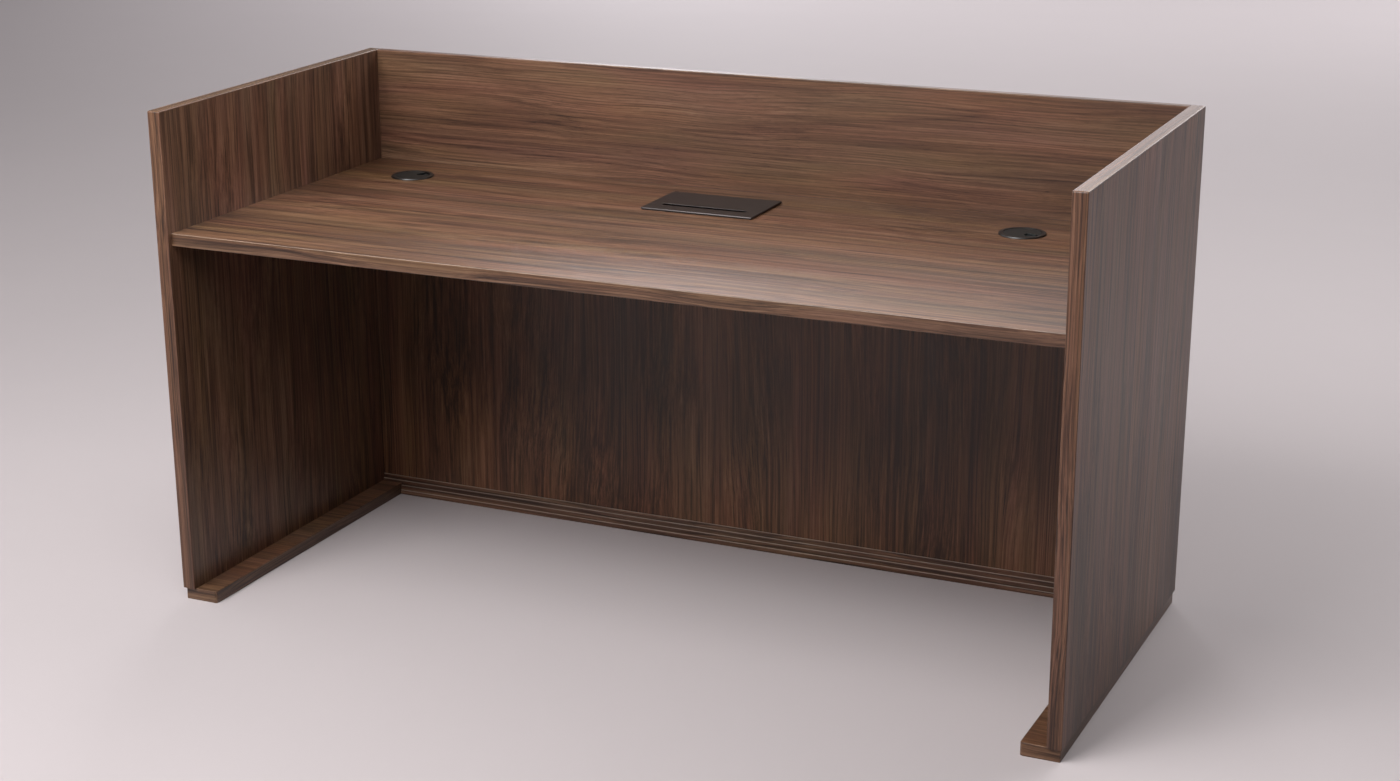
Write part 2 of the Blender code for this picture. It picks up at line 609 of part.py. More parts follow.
cutout_half = (collar_half[0] + CUTOUT_CLEARANCE, collar_half[1] + CUTOUT_CLEARANCE)
cut(worktop, block("power_box_cutout", *around(*cutout_half, -WORKTOP_THICKNESS - CUT_REACH, CUT_REACH)))


def hinge_bore(name):
    reach = lid_half[0] + CUT_REACH
    return rod(name, pin_hole_radius, -reach, reach, None, hinge, (1, 0, 0))


def power_frame():
    """The frame: a flange on the worktop, a collar in the cut-out, and two ears that hold the hinge pin."""
    low, high = around(*flange_half, FIT_GAP, flange_top)
    high.y = hinge.y + barrel_radius + HINGE_EAR_MARGIN
    frame = block("power_box_frame", low, high, BRONZE)
    overlap = FIT_GAP + FRAME_FLANGE_THICKNESS / 2
    join(frame, block("frame_collar", *around(*collar_half, -FRAME_COLLAR_DEPTH, overlap)))
    cut(frame, block("frame_opening", *around(*opening_half, -FRAME_COLLAR_DEPTH - CUT_REACH,
                                              flange_top + CUT_REACH)))
    for side in (-1, 1):
        xs = sorted((BOX_OFFSET + side * ear_outer, BOX_OFFSET + side * ear_inner))
        low = (xs[0], hinge.y - barrel_radius, WORKTOP_HEIGHT + overlap)
        high = (xs[1], hinge.y + barrel_radius, hinge.z + barrel_radius)
        join(frame, block(f"hinge_ear_{side}", low, high, None, {"+z-y": 1.0, "+z+y": 1.0}, hinge_round))
    cut(frame, hinge_bore("frame_pin_hole"))


def power_lid():
    """The lid: a plate hinged along its rear edge, with a slot that lets cables out and a finger in."""
    rounding = {"+y+z": 1.0, "+y-z": 1.0}
    arris = LID_ARRIS / hinge_round
    rounding.update({"-y+z": arris, "-x+z": arris, "+x+z": arris})
    lid = block("power_box_lid", *around(*lid_half, lid_bottom, lid_top), BRONZE, rounding,
                hinge_round, hinge)
    slot_y = LID_SLOT_FROM_FRONT - lid_half[1]
    slot = block("lid_slot", *around(LID_SLOT_LENGTH / 2, LID_SLOT_WIDTH / 2, lid_bottom - CUT_REACH,
                                     lid_top + CUT_REACH))
    slot.location.y += slot_y
    cut(lid, slot, hinge_bore("lid_pin_hole"))
    for side in (-1, 1):
        xs = sorted((BOX_OFFSET + side * (ear_inner - HINGE_SIDE_CLEARANCE),
                     BOX_OFFSET + side * (lid_half[0] + CUT_REACH)))
        low = (xs[0], hinge.y - barrel_radius - HINGE_SIDE_CLEARANCE, WORKTOP_HEIGHT + lid_bottom - CUT_REACH)
        high = (xs[1], hinge.y + barrel_radius + CUT_REACH, WORKTOP_HEIGHT + lid_top + CUT_REACH)
        cut(lid, block(f"ear_notch_{side}", low, high))


def power_tray():
    """The sheet-metal tray under the lid, with a cable outlet in its floor, and the clips that hold it."""
    tray = block("power_box_tray", *around(*tray_half, -TRAY_DEPTH, 0.0), TRAY_METAL)
    cut(tray, block("tray_inside", *around(*tray_inner_half, TRAY_WALL - TRAY_DEPTH, CUT_REACH)))
    outlet = block("tray_outlet", *around(TRAY_OUTLET_LENGTH / 2, TRAY_OUTLET_WIDTH / 2,
                                          -TRAY_DEPTH - CUT_REACH, TRAY_WALL - TRAY_DEPTH + CUT_REACH))
    outlet.location.x += TRAY_OUTLET_MARGIN + TRAY_OUTLET_LENGTH / 2 - tray_inner_half[0]
    outlet.location.y += TRAY_OUTLET_MARGIN + TRAY_OUTLET_WIDTH / 2 - tray_inner_half[1]
    cut(tray, outlet)
    for side, name in ((-1, "left"), (1, "right")):
        corner = (BOX_OFFSET + side * (tray_half[0] + FIT_GAP), BOX_Y, UNDERSIDE - FIT_GAP)
        outline = [(0, 0), (CLIP_FOOT, 0), (CLIP_FOOT, CLIP_THICKNESS), (CLIP_THICKNESS, CLIP_THICKNESS),
                   (CLIP_THICKNESS, CLIP_LEG), (0, CLIP_LEG)]
        extruded(f"{name}_spring_clip", outline, CLIP_WIDTH, placing(corner, (side, 0, 0), (0, 0, -1)), STEEL)
    return tray


def socket_rail(tray):
    """The socket rail on the tray's floor, at its rear wall, with three modules facing the user. Its mains
    inlet is in its right end, behind the modules, and is reached through the tray's wall."""
    half_length = tray_inner_half[0] - SOCKET_RAIL_END_GAP
    floor = WORKTOP_HEIGHT - TRAY_DEPTH + TRAY_WALL + FIT_GAP
    rear = BOX_Y + tray_inner_half[1] - FIT_GAP
    face = rear - SOCKET_RAIL_DEPTH
    rail = block("socket_rail", (BOX_OFFSET - half_length, face, floor),
                 (BOX_OFFSET + half_length, rear, floor + SOCKET_RAIL_HEIGHT), SOCKET_PLASTIC)
    middle_z = floor + SOCKET_RAIL_HEIGHT / 2
    inlet_y = (face + SOCKET_DEPTH + rear) / 2
    inlet_end = Vector((BOX_OFFSET + half_length - INLET_DEPTH, inlet_y, middle_z))
    inlet_mouth = Vector((BOX_OFFSET + tray_half[0] + CUT_REACH, inlet_y, middle_z))
    inlet_half = Vector((0.0, INLET_WIDTH / 2, INLET_HEIGHT / 2))
    inlet = block("mains_inlet", inlet_end - inlet_half, inlet_mouth + inlet_half)
    cut(rail, inlet)
    cut(tray, inlet)
    for name, place_in_row in (("left_mains_socket", -1), ("right_mains_socket", 0), ("data_socket", 1)):
        x = BOX_OFFSET + place_in_row * SOCKET_PITCH
        socket_module(name, Vector((x, face, middle_z)), rail)


def socket_module(name, face_centre, rail):
    """A square module set in the rail's face: a round mains socket, or two data jacks."""
    half = SOCKET_SIZE / 2
    pocket = half + FIT_GAP
    module = block(name, face_centre + Vector((-half, 0, -half)),
                   face_centre + Vector((half, SOCKET_DEPTH, half)), SOCKET_PLASTIC)
    cut(rail, block(name + "_pocket", face_centre + Vector((-pocket, -CUT_REACH, -pocket)),
                    face_centre + Vector((pocket, SOCKET_DEPTH + FIT_GAP, pocket))))
    if name == "data_socket":
        for side in (-1, 1):
            jack = face_centre + Vector((side * JACK_SPACING / 2, 0, 0))
            cut(module, block(f"jack_{side}", jack - Vector((JACK_WIDTH / 2, CUT_REACH, JACK_HEIGHT / 2)),
                              jack + Vector((JACK_WIDTH / 2, SOCKET_RECESS_DEPTH, JACK_HEIGHT / 2))))
        return
    cut(module, rod(name + "_recess", SOCKET_RECESS_RADIUS, -CUT_REACH, SOCKET_RECESS_DEPTH, None,
                    face_centre, (0, 1, 0), SHOWN_SIDES // 2))
    for side in (-1, 1):
        pin_place = face_centre + Vector((side * SOCKET_PIN_SPACING / 2, 0, 0))
        cut(module, rod(f"{name}_pin_{side}", SOCKET_PIN_HOLE_RADIUS, -CUT_REACH, SOCKET_DEPTH + CUT_REACH,
                        None, pin_place, (0, 1, 0)))


power_frame()
power_lid()
socket_rail(power_tray())
rod("power_box_hinge_pin", HINGE_PIN_RADIUS, -ear_outer, ear_outer, STEEL, hinge, (1, 0, 0))
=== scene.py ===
"""A judges' bench of walnut laminate boards, with two cable grommets and a power box in its worktop."""

from math import pi, radians

import bpy
import numpy as np
from mathutils import Matrix, Vector


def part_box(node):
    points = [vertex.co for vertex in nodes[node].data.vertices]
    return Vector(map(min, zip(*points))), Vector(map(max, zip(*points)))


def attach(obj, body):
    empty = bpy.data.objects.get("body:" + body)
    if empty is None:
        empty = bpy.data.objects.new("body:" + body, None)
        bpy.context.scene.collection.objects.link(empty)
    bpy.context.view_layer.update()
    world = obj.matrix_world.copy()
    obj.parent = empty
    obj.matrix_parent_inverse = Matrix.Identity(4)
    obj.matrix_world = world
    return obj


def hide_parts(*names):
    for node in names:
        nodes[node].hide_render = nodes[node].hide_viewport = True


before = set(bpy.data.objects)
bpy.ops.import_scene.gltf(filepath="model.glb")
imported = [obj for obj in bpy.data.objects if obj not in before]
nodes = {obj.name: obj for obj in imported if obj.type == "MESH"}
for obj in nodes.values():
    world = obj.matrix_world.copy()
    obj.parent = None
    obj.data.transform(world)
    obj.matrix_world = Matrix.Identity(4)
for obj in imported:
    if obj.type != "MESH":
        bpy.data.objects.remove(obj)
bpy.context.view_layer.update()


# End panels
# Each end is a full-height particle board, faced on both sides with a printed walnut laminate, its grain
# upright. The sheet is pressed on in one go and lacquered satin, with the fine pores of the wood embossed.
class Finish:
    """One socket of a material's nodes. Arithmetic between sockets and numbers adds Math nodes."""

    def __init__(self, socket):
        self.socket = socket

    def node(self, kind, settings=None, sockets=None, output=0):
        """Adds a node of this kind: its settings first, then the values or links of its sockets."""
        tree = self.socket.id_data
        made = tree.nodes.new("ShaderNode" + kind)
        for setting, value in (settings or {}).items():
            if setting == "stops":
                elements = made.color_ramp.elements
                elements[0].position, elements[-1].position = value[0][0], value[-1][0]
                for at, _ in value[1:-1]:
                    elements.new(at)
                for element, (_, colour) in zip(elements, value):
                    element.color = (*colour, 1.0)
            else:
                setattr(made, setting, value)
        for socket, value in (sockets or {}).items():
            if isinstance(value, Finish):
                tree.links.new(value.socket, made.inputs[socket])
            else:
                made.inputs[socket].default_value = value
        return Finish(made.outputs[output])

    def math(self, operation, first, second=0.0):
        """One Math node on two sockets or numbers."""
        return self.node("Math", {"operation": operation}, {0: first, 1: second})

    def __add__(self, other):
        return self.math("ADD", self, other)

    def __sub__(self, other):
        return self.math("SUBTRACT", self, other)

    def __rsub__(self, other):
        return self.math("SUBTRACT", other, self)

    def __mul__(self, other):
        return self.math("MULTIPLY", self, other)

    __radd__, __rmul__ = __add__, __mul__

    def streaks(self, waves, detail=2.0, roughness=0.5, output=0):
        """Noise over this vector, about zero, with its own number of waves a metre in each direction.
        The colour output is three noises, about a half."""
        scaled = self.node("VectorMath", {"operation": "MULTIPLY"}, {0: self, 1: waves})
        noise = self.node("TexNoise", None, {"Vector": scaled, "Scale": 1.0, "Detail": detail,
                                             "Roughness": roughness}, output)
        return noise if output else noise - 0.5

    def ramp(self, stops):
        """The colour at this value, between stops that each give a place and a colour."""
        return self.node("ValToRGB", {"stops": stops}, {0: self})

    def mix(self, share, first, second, **settings):
        """The first colour, turned into the second as the share goes from nothing to all."""
        return self.node("Mix", {"data_type": "RGBA", **settings}, {0: share, 6: first, 7: second}, output=2)

    def feed(self, shader, socket):
        """Links this socket to one of the shader's."""
        self.socket.id_data.links.new(self.socket, shader.inputs[socket])

    def emboss(self, shader, strength, depth):
        """Gives the shader this height as a bump, with its depth in metres."""
        bump = self.node("Bump", None, {"Strength": strength, "Distance": depth, "Height": self})
        bump.feed(shader, "Normal")


def blank(name, coordinates="Object", **constants):
    """A new material, with its shader's constant sockets set, and the point on the piece that it colours."""
    material = bpy.data.materials.new(name)
    material.use_nodes = True
    shader = material.node_tree.nodes["Principled BSDF"]
    for socket, value in constants.items():
        shader.inputs[socket.replace("_", " ")].default_value = value
    point = material.node_tree.nodes.new("ShaderNodeTexCoord")
    return material, shader, Finish(point.outputs[coordinates])


AXES = {"x": Vector((1, 0, 0)), "y": Vector((0, 1, 0)), "z": Vector((0, 0, 1))}
WALNUT_TONES = ((0.10, (0.034, 0.0155, 0.0095)), (0.38, (0.098, 0.047, 0.027)),
                (0.60, (0.158, 0.080, 0.046)), (0.90, (0.235, 0.130, 0.080)))
# Tone and share of the pale line painted on milled arrises as a highlight, standing in for the light they
# catch
PAINTED_HIGHLIGHT_TONE, PAINTED_HIGHLIGHT_SHARE = (0.52, 0.43, 0.36, 1), 0.5
TINT_SHARE = 0.17
RINGS_PER_METRE, RING_DRIFT, RING_MEAN = 190, 12, 0.25
PORE_LEVEL, PORE_SHADE = 0.16, 0.15
GRAIN_DEPTH = 0.00012


def timber(name, along, across, sheet, shade=0.5, tones=WALNUT_TONES, stain=(1, 1, 1), coordinates="Object",
           bands=1.0, cloudy=0.35, coarse=0.5, crisp=1.0, veins=(45, 0.24), rings=0.2, run=1.0, arch=0.26,
           matt=0.38, gloss=0.5, painted_highlight=None):
    """Timber or its print, the grain along one axis. The distance across the grain is pushed about by slow
    noise, long along the grain, so that lines drawn at one distance run on in arches. Clouds, streaks and
    hairlines are noise over the length and that distance, each finer than the last. Veins are thin lines
    where such noise passes zero, of a given sharpness and depth. Growth rings are a saw-tooth over that
    distance, cubed, so that each darkens slowly and ends at once, and they show most in the pale clouds. The
    sum picks a tone from dark to light, and noise in three colours turns broad streaks redder, greener or
    greyer. Stain is the sheet's own tint. Painted highlight is a pale line painted along milled arrises as
    the
    light they catch: it gives the axis across them, the place of the first on it, the line's half width, and
    the pitch."""
    material, shader, point = blank(name, coordinates, Specular_IOR_Level=gloss)
    turn = Matrix((AXES[along], AXES[across], AXES[along].cross(AXES[across]))).to_euler()
    grain = point.node("Mapping", None, {"Vector": point, "Rotation": turn, "Location": sheet})
    drift = grain.streaks((0.26, 2.1, 2.1), 2.0, 0.4) * arch + grain.streaks((2.2, 9, 9), 1.0) * 0.028
    shift = grain.node("CombineXYZ", None, {1: drift, 2: drift})
    bent = grain.node("VectorMath", {"operation": "ADD"}, {0: grain, 1: shift})

    def figure(waves_along, waves_across, detail=2.0, roughness=0.5, output=0):
        """Noise drawn out along the bent grain: a larger run shortens it, and larger bands narrow it."""
        waves = (waves_along * run, waves_across * bands, waves_across * bands)
        return bent.streaks(waves, detail, roughness, output)

    cloud = figure(0.7, 7.0)
    broad = figure(1.2, 21)
    streak = figure(2.4, 85, 1.0, 0.6)
    line = figure(1.2, 165, 1.0, 0.6)
    fine = figure(4.0, 330, 2.0, 0.6)
    hair = bent.streaks((9.0, 900, 900), 2.0, 0.6)
    pore = bent.streaks((45, 1700, 1700), 0.0)
    open_pore = pore.math("GREATER_THAN", pore, PORE_LEVEL)
    dark = streak.math("MAXIMUM", -0.03 - streak)
    crossing = figure(0.6, 24, 2.0, 0.45)
    vein = crossing.math("MAXIMUM", 1 - crossing.math("ABSOLUTE", crossing) * veins[0]) * (cloud * 2.5 + 0.6)
    distance = bent.node("SeparateXYZ", None, {0: bent}, output="Y")
    years = distance * (RINGS_PER_METRE * bands) + bent.streaks((0.5 * run, 7, 7), 2.0) * RING_DRIFT
    ring = years.math("POWER", years.math("FRACT", years), 3) - RING_MEAN
    ring = ring * ring.math("MAXIMUM", cloud * 3.0 + 0.5)
    tone = shade + cloud * cloudy + coarse * (broad * 0.25 + streak * 0.8 - dark * 1.4)
    tone = tone + crisp * (line * 0.9 + fine + hair * 0.6)
    tone = tone - vein * veins[1] - ring * rings - open_pore * PORE_SHADE
    colour = tone.ramp([(at, tuple(np.multiply(paint, stain))) for at, paint in tones])
    tint = figure(2.0, 17, output="Color")
    colour = colour.mix(TINT_SHARE, colour, tint, blend_type="OVERLAY")
    # A pale line painted along the arrises as a highlight, where they would catch the light
    if painted_highlight:
        axis, first, half_width, pitch = painted_highlight
        place = point.node("SeparateXYZ", None, {0: point}, output=axis.upper())
        away = place.math("PINGPONG", place - first, pitch / 2)
        painted_highlight_mask = away.math("MAXIMUM", 1 - away * (1 / half_width)) * (PAINTED_HIGHLIGHT_SHARE + hair)
        colour = colour.mix(painted_highlight_mask, colour, PAINTED_HIGHLIGHT_TONE, clamp_factor=True)
    colour.feed(shader, "Base Color")
    (matt - broad * 0.10 - hair * 0.12).feed(shader, "Roughness")
    (hair * 0.6 - open_pore * 0.4).emboss(shader, 0.25, GRAIN_DEPTH)
    return material


def dress(material, *names):
    """Gives CAD nodes this finish."""
    for name in names:
        for slot in nodes[name].material_slots:
            slot.material = material


left_laminate = timber("left_end_laminate", "z", "y", (0.3, 0.1, 2.0))
dress(left_laminate, "left_end_panel")
right_laminate = timber("right_end_laminate", "z", "y", (5.1, 3.7, 1.2), stain=(1.10, 0.98, 0.91), cloudy=1.0,
                        coarse=0.7)
dress(right_laminate, "right_end_panel")


# Base rails
# The ends stand on flat rails, rounded at the inner front corner, with the laminate's grain across their tops
# and along their inner sides. The panels are screwed to them from below.
HOLD = 0.0004
SHARP_ANGLE = radians(40)


def outline(low, high, corners, inset, steps=6):
    """Points round a rectangle in plan, counter-clockwise: a quarter circle of its own radius at each corner,
    starting from the right rear one, and all of it drawn in by the inset."""
    signs = np.array([(1, 1), (-1, 1), (-1, -1), (1, -1)])
    low, high, radii = np.array(low), np.array(high), np.array(corners).reshape(4, 1)
    centres = (low + high) / 2 + signs * ((high - low) / 2 - radii)
    turns = np.arange(4)[:, None] * pi / 2 + np.linspace(0, pi / 2, steps + 1)
    arcs = np.stack([np.cos(turns), np.sin(turns)], axis=-1)
    return (centres[:, None] + (radii - inset)[:, :, None] * arcs).reshape(-1, 2)


def rounded_edge(bottom, top, arris, steps=4):
    """Inset and height up the edge of a slab: flat, a quarter round, the side, a quarter round and flat. Two
    rows that hold close to each round keep the flats flat."""
    turn = np.linspace(0, pi / 2, steps + 1)
    rise = np.column_stack([arris * (1 - np.sin(turn)), arris * (1 - np.cos(turn))])
    corner = np.vstack([(arris + HOLD, 0.0), rise, (0.0, arris + HOLD)])
    lower, upper = corner + (0.0, bottom), corner * (1, -1) + (0.0, top)
    return np.vstack([lower, upper[::-1]])


def raised(rings):
    """A grid from rings in plan, each with its height."""
    return np.stack([np.column_stack([ring, np.full(len(ring), height)]) for ring, height in rings])


def skin(name, body, materials, shells=(), rings=(), uv=None, replaces=()):
    """A piece from grids of points, whose columns run round it and whose rows run along it. A shell's first
    and last rows are each closed by a face. A ring's last row joins its first, as a tube bent into a hoop.
    The UV map, where there is one, has a place for each point."""
    points, faces, start = [], [], 0
    for grid, hoop in [(grid, False) for grid in shells] + [(grid, True) for grid in rings]:
        rows, columns = grid.shape[:2]
        index = np.arange(rows * columns).reshape(rows, columns) + start
        here, there = (index, np.roll(index, -1, 0)) if hoop else (index[:-1], index[1:])
        quads = np.stack([here, np.roll(here, -1, 1), np.roll(there, -1, 1), there], axis=-1)
        faces += quads.reshape(-1, 4).tolist()
        if not hoop:
            faces += [index[0, ::-1].tolist(), index[-1].tolist()]
        points.append(grid.reshape(-1, 3))
        start += rows * columns
    mesh = bpy.data.meshes.new(name)
    mesh.from_pydata(np.vstack(points), [], faces)
    mesh.shade_smooth()
    mesh.set_sharp_from_angle(angle=SHARP_ANGLE)
    if uv is not None:
        corner = np.zeros(len(mesh.loops), int)
        mesh.loops.foreach_get("vertex_index", corner)
        mesh.uv_layers.new(name="grain").data.foreach_set("uv", uv[corner].ravel())
    for material in materials:
        mesh.materials.append(material)
    piece = bpy.data.objects.new(name, mesh)
    bpy.context.scene.collection.objects.link(piece)
    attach(piece, body)
    if replaces:
        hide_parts(*replaces)
    return piece


RAIL_ARRIS = 0.0012
RAIL_CORNER = 0.0020
RAIL_FRONT_ROUND = 0.0060
LEFT_FRONT, RIGHT_FRONT = 2, 3
SIDEWAYS = 0.9
rail_top = timber("rail_top_laminate", "x", "y", (1.7, 0.4, 3.0), shade=0.53)
rail_side = timber("rail_side_laminate", "y", "z", (2.9, 0.2, 1.0), shade=0.47)
for side, inner_front in (("left", RIGHT_FRONT), ("right", LEFT_FRONT)):
    low, high = (np.array(corner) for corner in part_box(f"{side}_base_rail"))
    corners = [RAIL_CORNER] * 4
    corners[inner_front] = RAIL_FRONT_ROUND
    slab = raised([(outline(low[:2], high[:2], corners, inset), height)
                   for inset, height in rounded_edge(low[2], high[2], RAIL_ARRIS)])
    rail = skin(f"{side}_rail", "bench", (rail_top, rail_side), [slab],
                replaces=[f"{side}_base_rail"])
    facing = np.zeros(len(rail.data.polygons) * 3)
    rail.data.polygons.foreach_get("normal", facing)
    on_side = np.abs(facing.reshape(-1, 3)[:, 0]) > SIDEWAYS
    rail.data.polygons.foreach_set("material_index", on_side.astype(int))
dress(rail_side, "back_base_rail")


# Back panel and modesty panel
# The back panel is a full-height board behind the worktop and faces the room. The modesty panel, a little
# ahead of it, closes the knee space. Both are laminated, the back with level grain, the other with upright.
back_laminate = timber("back_laminate", "x", "z", (0.6, 2.3, 4.0), shade=0.48, cloudy=0.6, coarse=0.05,
                       crisp=0.6, veins=(28, 0.2), rings=0.27, run=1.3, arch=0.10)
dress(back_laminate, "back_panel")
modesty_laminate = timber("modesty_laminate", "z", "x", (3.2, 1.35, 0.5), shade=0.44,
                          stain=(1.10, 0.98, 0.86), cloudy=1.1, coarse=0.35, veins=(25, 0.26), rings=0.05,
                          arch=0.4)
dress(modesty_laminate, "modesty_panel")


# Battens and dowels
# Three planed pine battens are glued between the modesty panel and the back panel. Beech dowels pin the back
# panel's ends to the end panels.
PINE_TONES = ((0.15, (0.30, 0.165, 0.075)), (0.50, (0.50, 0.335, 0.185)), (0.85, (0.66, 0.50, 0.335)))
BEECH_TONES = ((0.15, (0.34, 0.200, 0.115)), (0.50, (0.47, 0.310, 0.190)), (0.85, (0.58, 0.415, 0.280)))
for number, place in enumerate(("left", "centre", "right")):
    pine = timber(f"{place}_batten_pine", "z", "x", (number * 2.3, 0.4, 0.7), tones=PINE_TONES, matt=0.62,
                  gloss=0.3)
    dress(pine, f"{place}_spacer_batten")
beech = timber("dowel_beech", "x", "y", (0.2, 0.5, 0.8), tones=BEECH_TONES, bands=2.5, matt=0.6, gloss=0.3)
dress(beech, *(f"{side}_{level}_dowel" for side in ("left", "right") for level in ("lower", "upper")))


# Skirting
# A timber moulding in four steps, glued along the foot of the modesty panel and notched over the rails. It is
# wrapped in the walnut print, with a pale line painted along each tread and nosing as a highlight, where the
# steps catch the light.
def carried(profile, stations):
    """A profile of y and z, counter-clockwise seen from the right, carried along x through the stations."""
    stations = np.asarray(stations)
    grid = np.empty((len(stations), len(profile), 3))
    grid[..., 0] = stations[:, None]
    grid[..., 1:] = profile
    return grid


STEPS = 4
NOSING, NOSING_HIGHLIGHT_HALF_WIDTH = 0.0011, 0.0010
SKIRTING_GAP = 0.0003
STEPS_BELOW_RAIL_TOP = 2
low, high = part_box("stepped_skirting")
step_rise = high.z / STEPS
step_tread = (high.y - low.y) / STEPS


def stepped(bottom, first):
    """The moulding's section from a height up: each step is a riser, a rounded nosing and a tread."""
    turn = np.linspace(0, pi / 2, 5)
    nose = np.column_stack([NOSING * (1 - np.cos(turn)), NOSING * (np.sin(turn) - 1)])
    points = [(high.y, bottom), (high.y, high.z)]
    for step in range(STEPS - 1, first - 1, -1):
        front, top = low.y + step * step_tread, (step + 1) * step_rise
        points += [*(nose[::-1] + (front, top)), (front, max(step * step_rise, bottom))]
    return np.array(points)


rail_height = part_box("left_base_rail")[1].z + SKIRTING_GAP
rail_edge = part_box("right_base_rail")[0].x - SKIRTING_GAP
# The print gets a painted highlight: a pale line along each step's tread and the top of its nosing
skirting_wood = timber("skirting_laminate", "x", "z", (0.9, 0.33, 6.0), shade=0.46,
                       painted_highlight=("z", 0.0, NOSING_HIGHLIGHT_HALF_WIDTH, step_rise))
whole, notched_over = stepped(low.z, 0), stepped(rail_height, STEPS_BELOW_RAIL_TOP)
skin("skirting", "bench", [skirting_wood],
     [carried(whole, (-rail_edge, rail_edge)), carried(notched_over, (low.x, -rail_edge)),
      carried(notched_over, (rail_edge, high.x))], replaces=["stepped_skirting"])


# Worktop
# A laminated board between the ends, its grain from left to right. It is routed for the grommets and the
# power box, and hangs on steel angles at its ends.
worktop_laminate = timber("worktop_laminate", "x", "y", (2.2, 0.77, 1.5), shade=0.555,
                          stain=(1.04, 0.98, 0.87), bands=1.2, cloudy=1.0, coarse=0.6, crisp=1.15,
                          veins=(9, 0.20), rings=0.15, run=0.9, arch=0.2, matt=0.36)
dress(worktop_laminate, "worktop")
worktop_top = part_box("worktop")[1].z


# Edge bands
# Thick bands of the same walnut print are glued round the boards' edges and milled over, so their corners are
# round. On the ends they run up the front, along the top and down the back, mitred at the corners. The top
# bands' print is painted paler as sheen, and the worktop's and back's bands get a pale line painted along the
# upper arris as a highlight.
BAND_GLUE = 0.0003


def band(name, path, outward, across, half, thickness, corner, material, replaces):
    """A band: a flat strip with two rounded corners, carried along a path on its outer face. Across is the
    direction of the strip's width, outward points off the board at each point of the path."""
    turn = np.linspace(0, pi / 2, 5)
    flat = half - corner
    right = np.column_stack([flat + corner * np.sin(turn), corner * (np.cos(turn) - 1)])
    right = np.vstack([(flat - HOLD, 0.0), right, (half, -thickness)])
    profile = np.vstack([right[::-1] * (-1, 1), right])
    grid = path[:, None] + profile[:, :1] * np.array(across) + outward[:, None] * profile[None, :, 1:]
    lengths = np.concatenate([[0], np.cumsum(np.linalg.norm(np.diff(path, axis=0), axis=1))])
    girth = np.concatenate([[0], np.cumsum(np.linalg.norm(np.diff(profile, axis=0), axis=1))])
    uv = np.stack(np.broadcast_arrays(lengths[:, None], girth), axis=-1).reshape(-1, 2)
    return skin(name, "bench", [material], [grid], uv=uv, replaces=replaces)


END_CORNER = 0.0032
END_BAND_ROUND = 0.0016
MITRE = 4
SHEET_STEP = np.array((1.7, 0.6, 0.0))
# The top bands' print is a paler copy of the uprights': painted sheen for the light the tops catch. Their
# lower roughness is real.
SHEEN_PAINTED_TOP_LOOK = {"shade": 0.66, "coarse": 0.3, "rings": 0.04, "matt": 0.24}
UPRIGHT_LOOK = {"shade": 0.48, "coarse": 0.9, "rings": 0.1, "matt": 0.38}
for side, sheet in (("left", (0.4, 0.2, 0.0)), ("right", (7.9, 2.9, 0.0))):
    strips = [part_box(f"{side}_{edge}_edge_band") for edge in ("front", "top", "back")]
    front, back, top = strips[0][0].y, strips[2][1].y, strips[0][1].z
    middle_x, half = (strips[0][0].x + strips[0][1].x) / 2, (strips[0][1].x - strips[0][0].x) / 2
    thickness = strips[0][1].y - front + BAND_GLUE
    turn = np.linspace(0, pi / 2, 2 * MITRE + 1)
    faces_front = np.column_stack([0 * turn, -np.cos(turn), np.sin(turn)])
    faces_back = np.column_stack([0 * turn, np.sin(turn), np.cos(turn)])
    front_arc = faces_front * END_CORNER + (middle_x, front + END_CORNER, top - END_CORNER)
    back_arc = faces_back * END_CORNER + (middle_x, back - END_CORNER, top - END_CORNER)
    front_foot, back_foot = (middle_x, front, strips[0][0].z), (middle_x, back, strips[2][0].z)
    upto, past = slice(MITRE + 1), slice(MITRE, None)
    paths = {"front": ([front_foot, front_arc[upto]], [faces_front[0], faces_front[upto]]),
             "top": ([front_arc[past], back_arc[upto]], [faces_front[past], faces_back[upto]]),
             "back": ([back_arc[past], back_foot], [faces_back[past], faces_back[-1]])}
    for number, (edge, stretches) in enumerate(paths.items()):
        path, outward = (np.vstack(stretch) for stretch in stretches)
        look = SHEEN_PAINTED_TOP_LOOK if edge == "top" else UPRIGHT_LOOK
        edge_wood = timber(f"{side}_{edge}_band_print", "x", "y", sheet + number * SHEET_STEP,
                           coordinates="UV", bands=2.2, run=0.2, arch=0.02, **look)
        band(f"{side}_{edge}_band", path, outward, AXES["x"], half, thickness, END_BAND_ROUND, edge_wood,
             [f"{side}_{edge}_edge_band"])

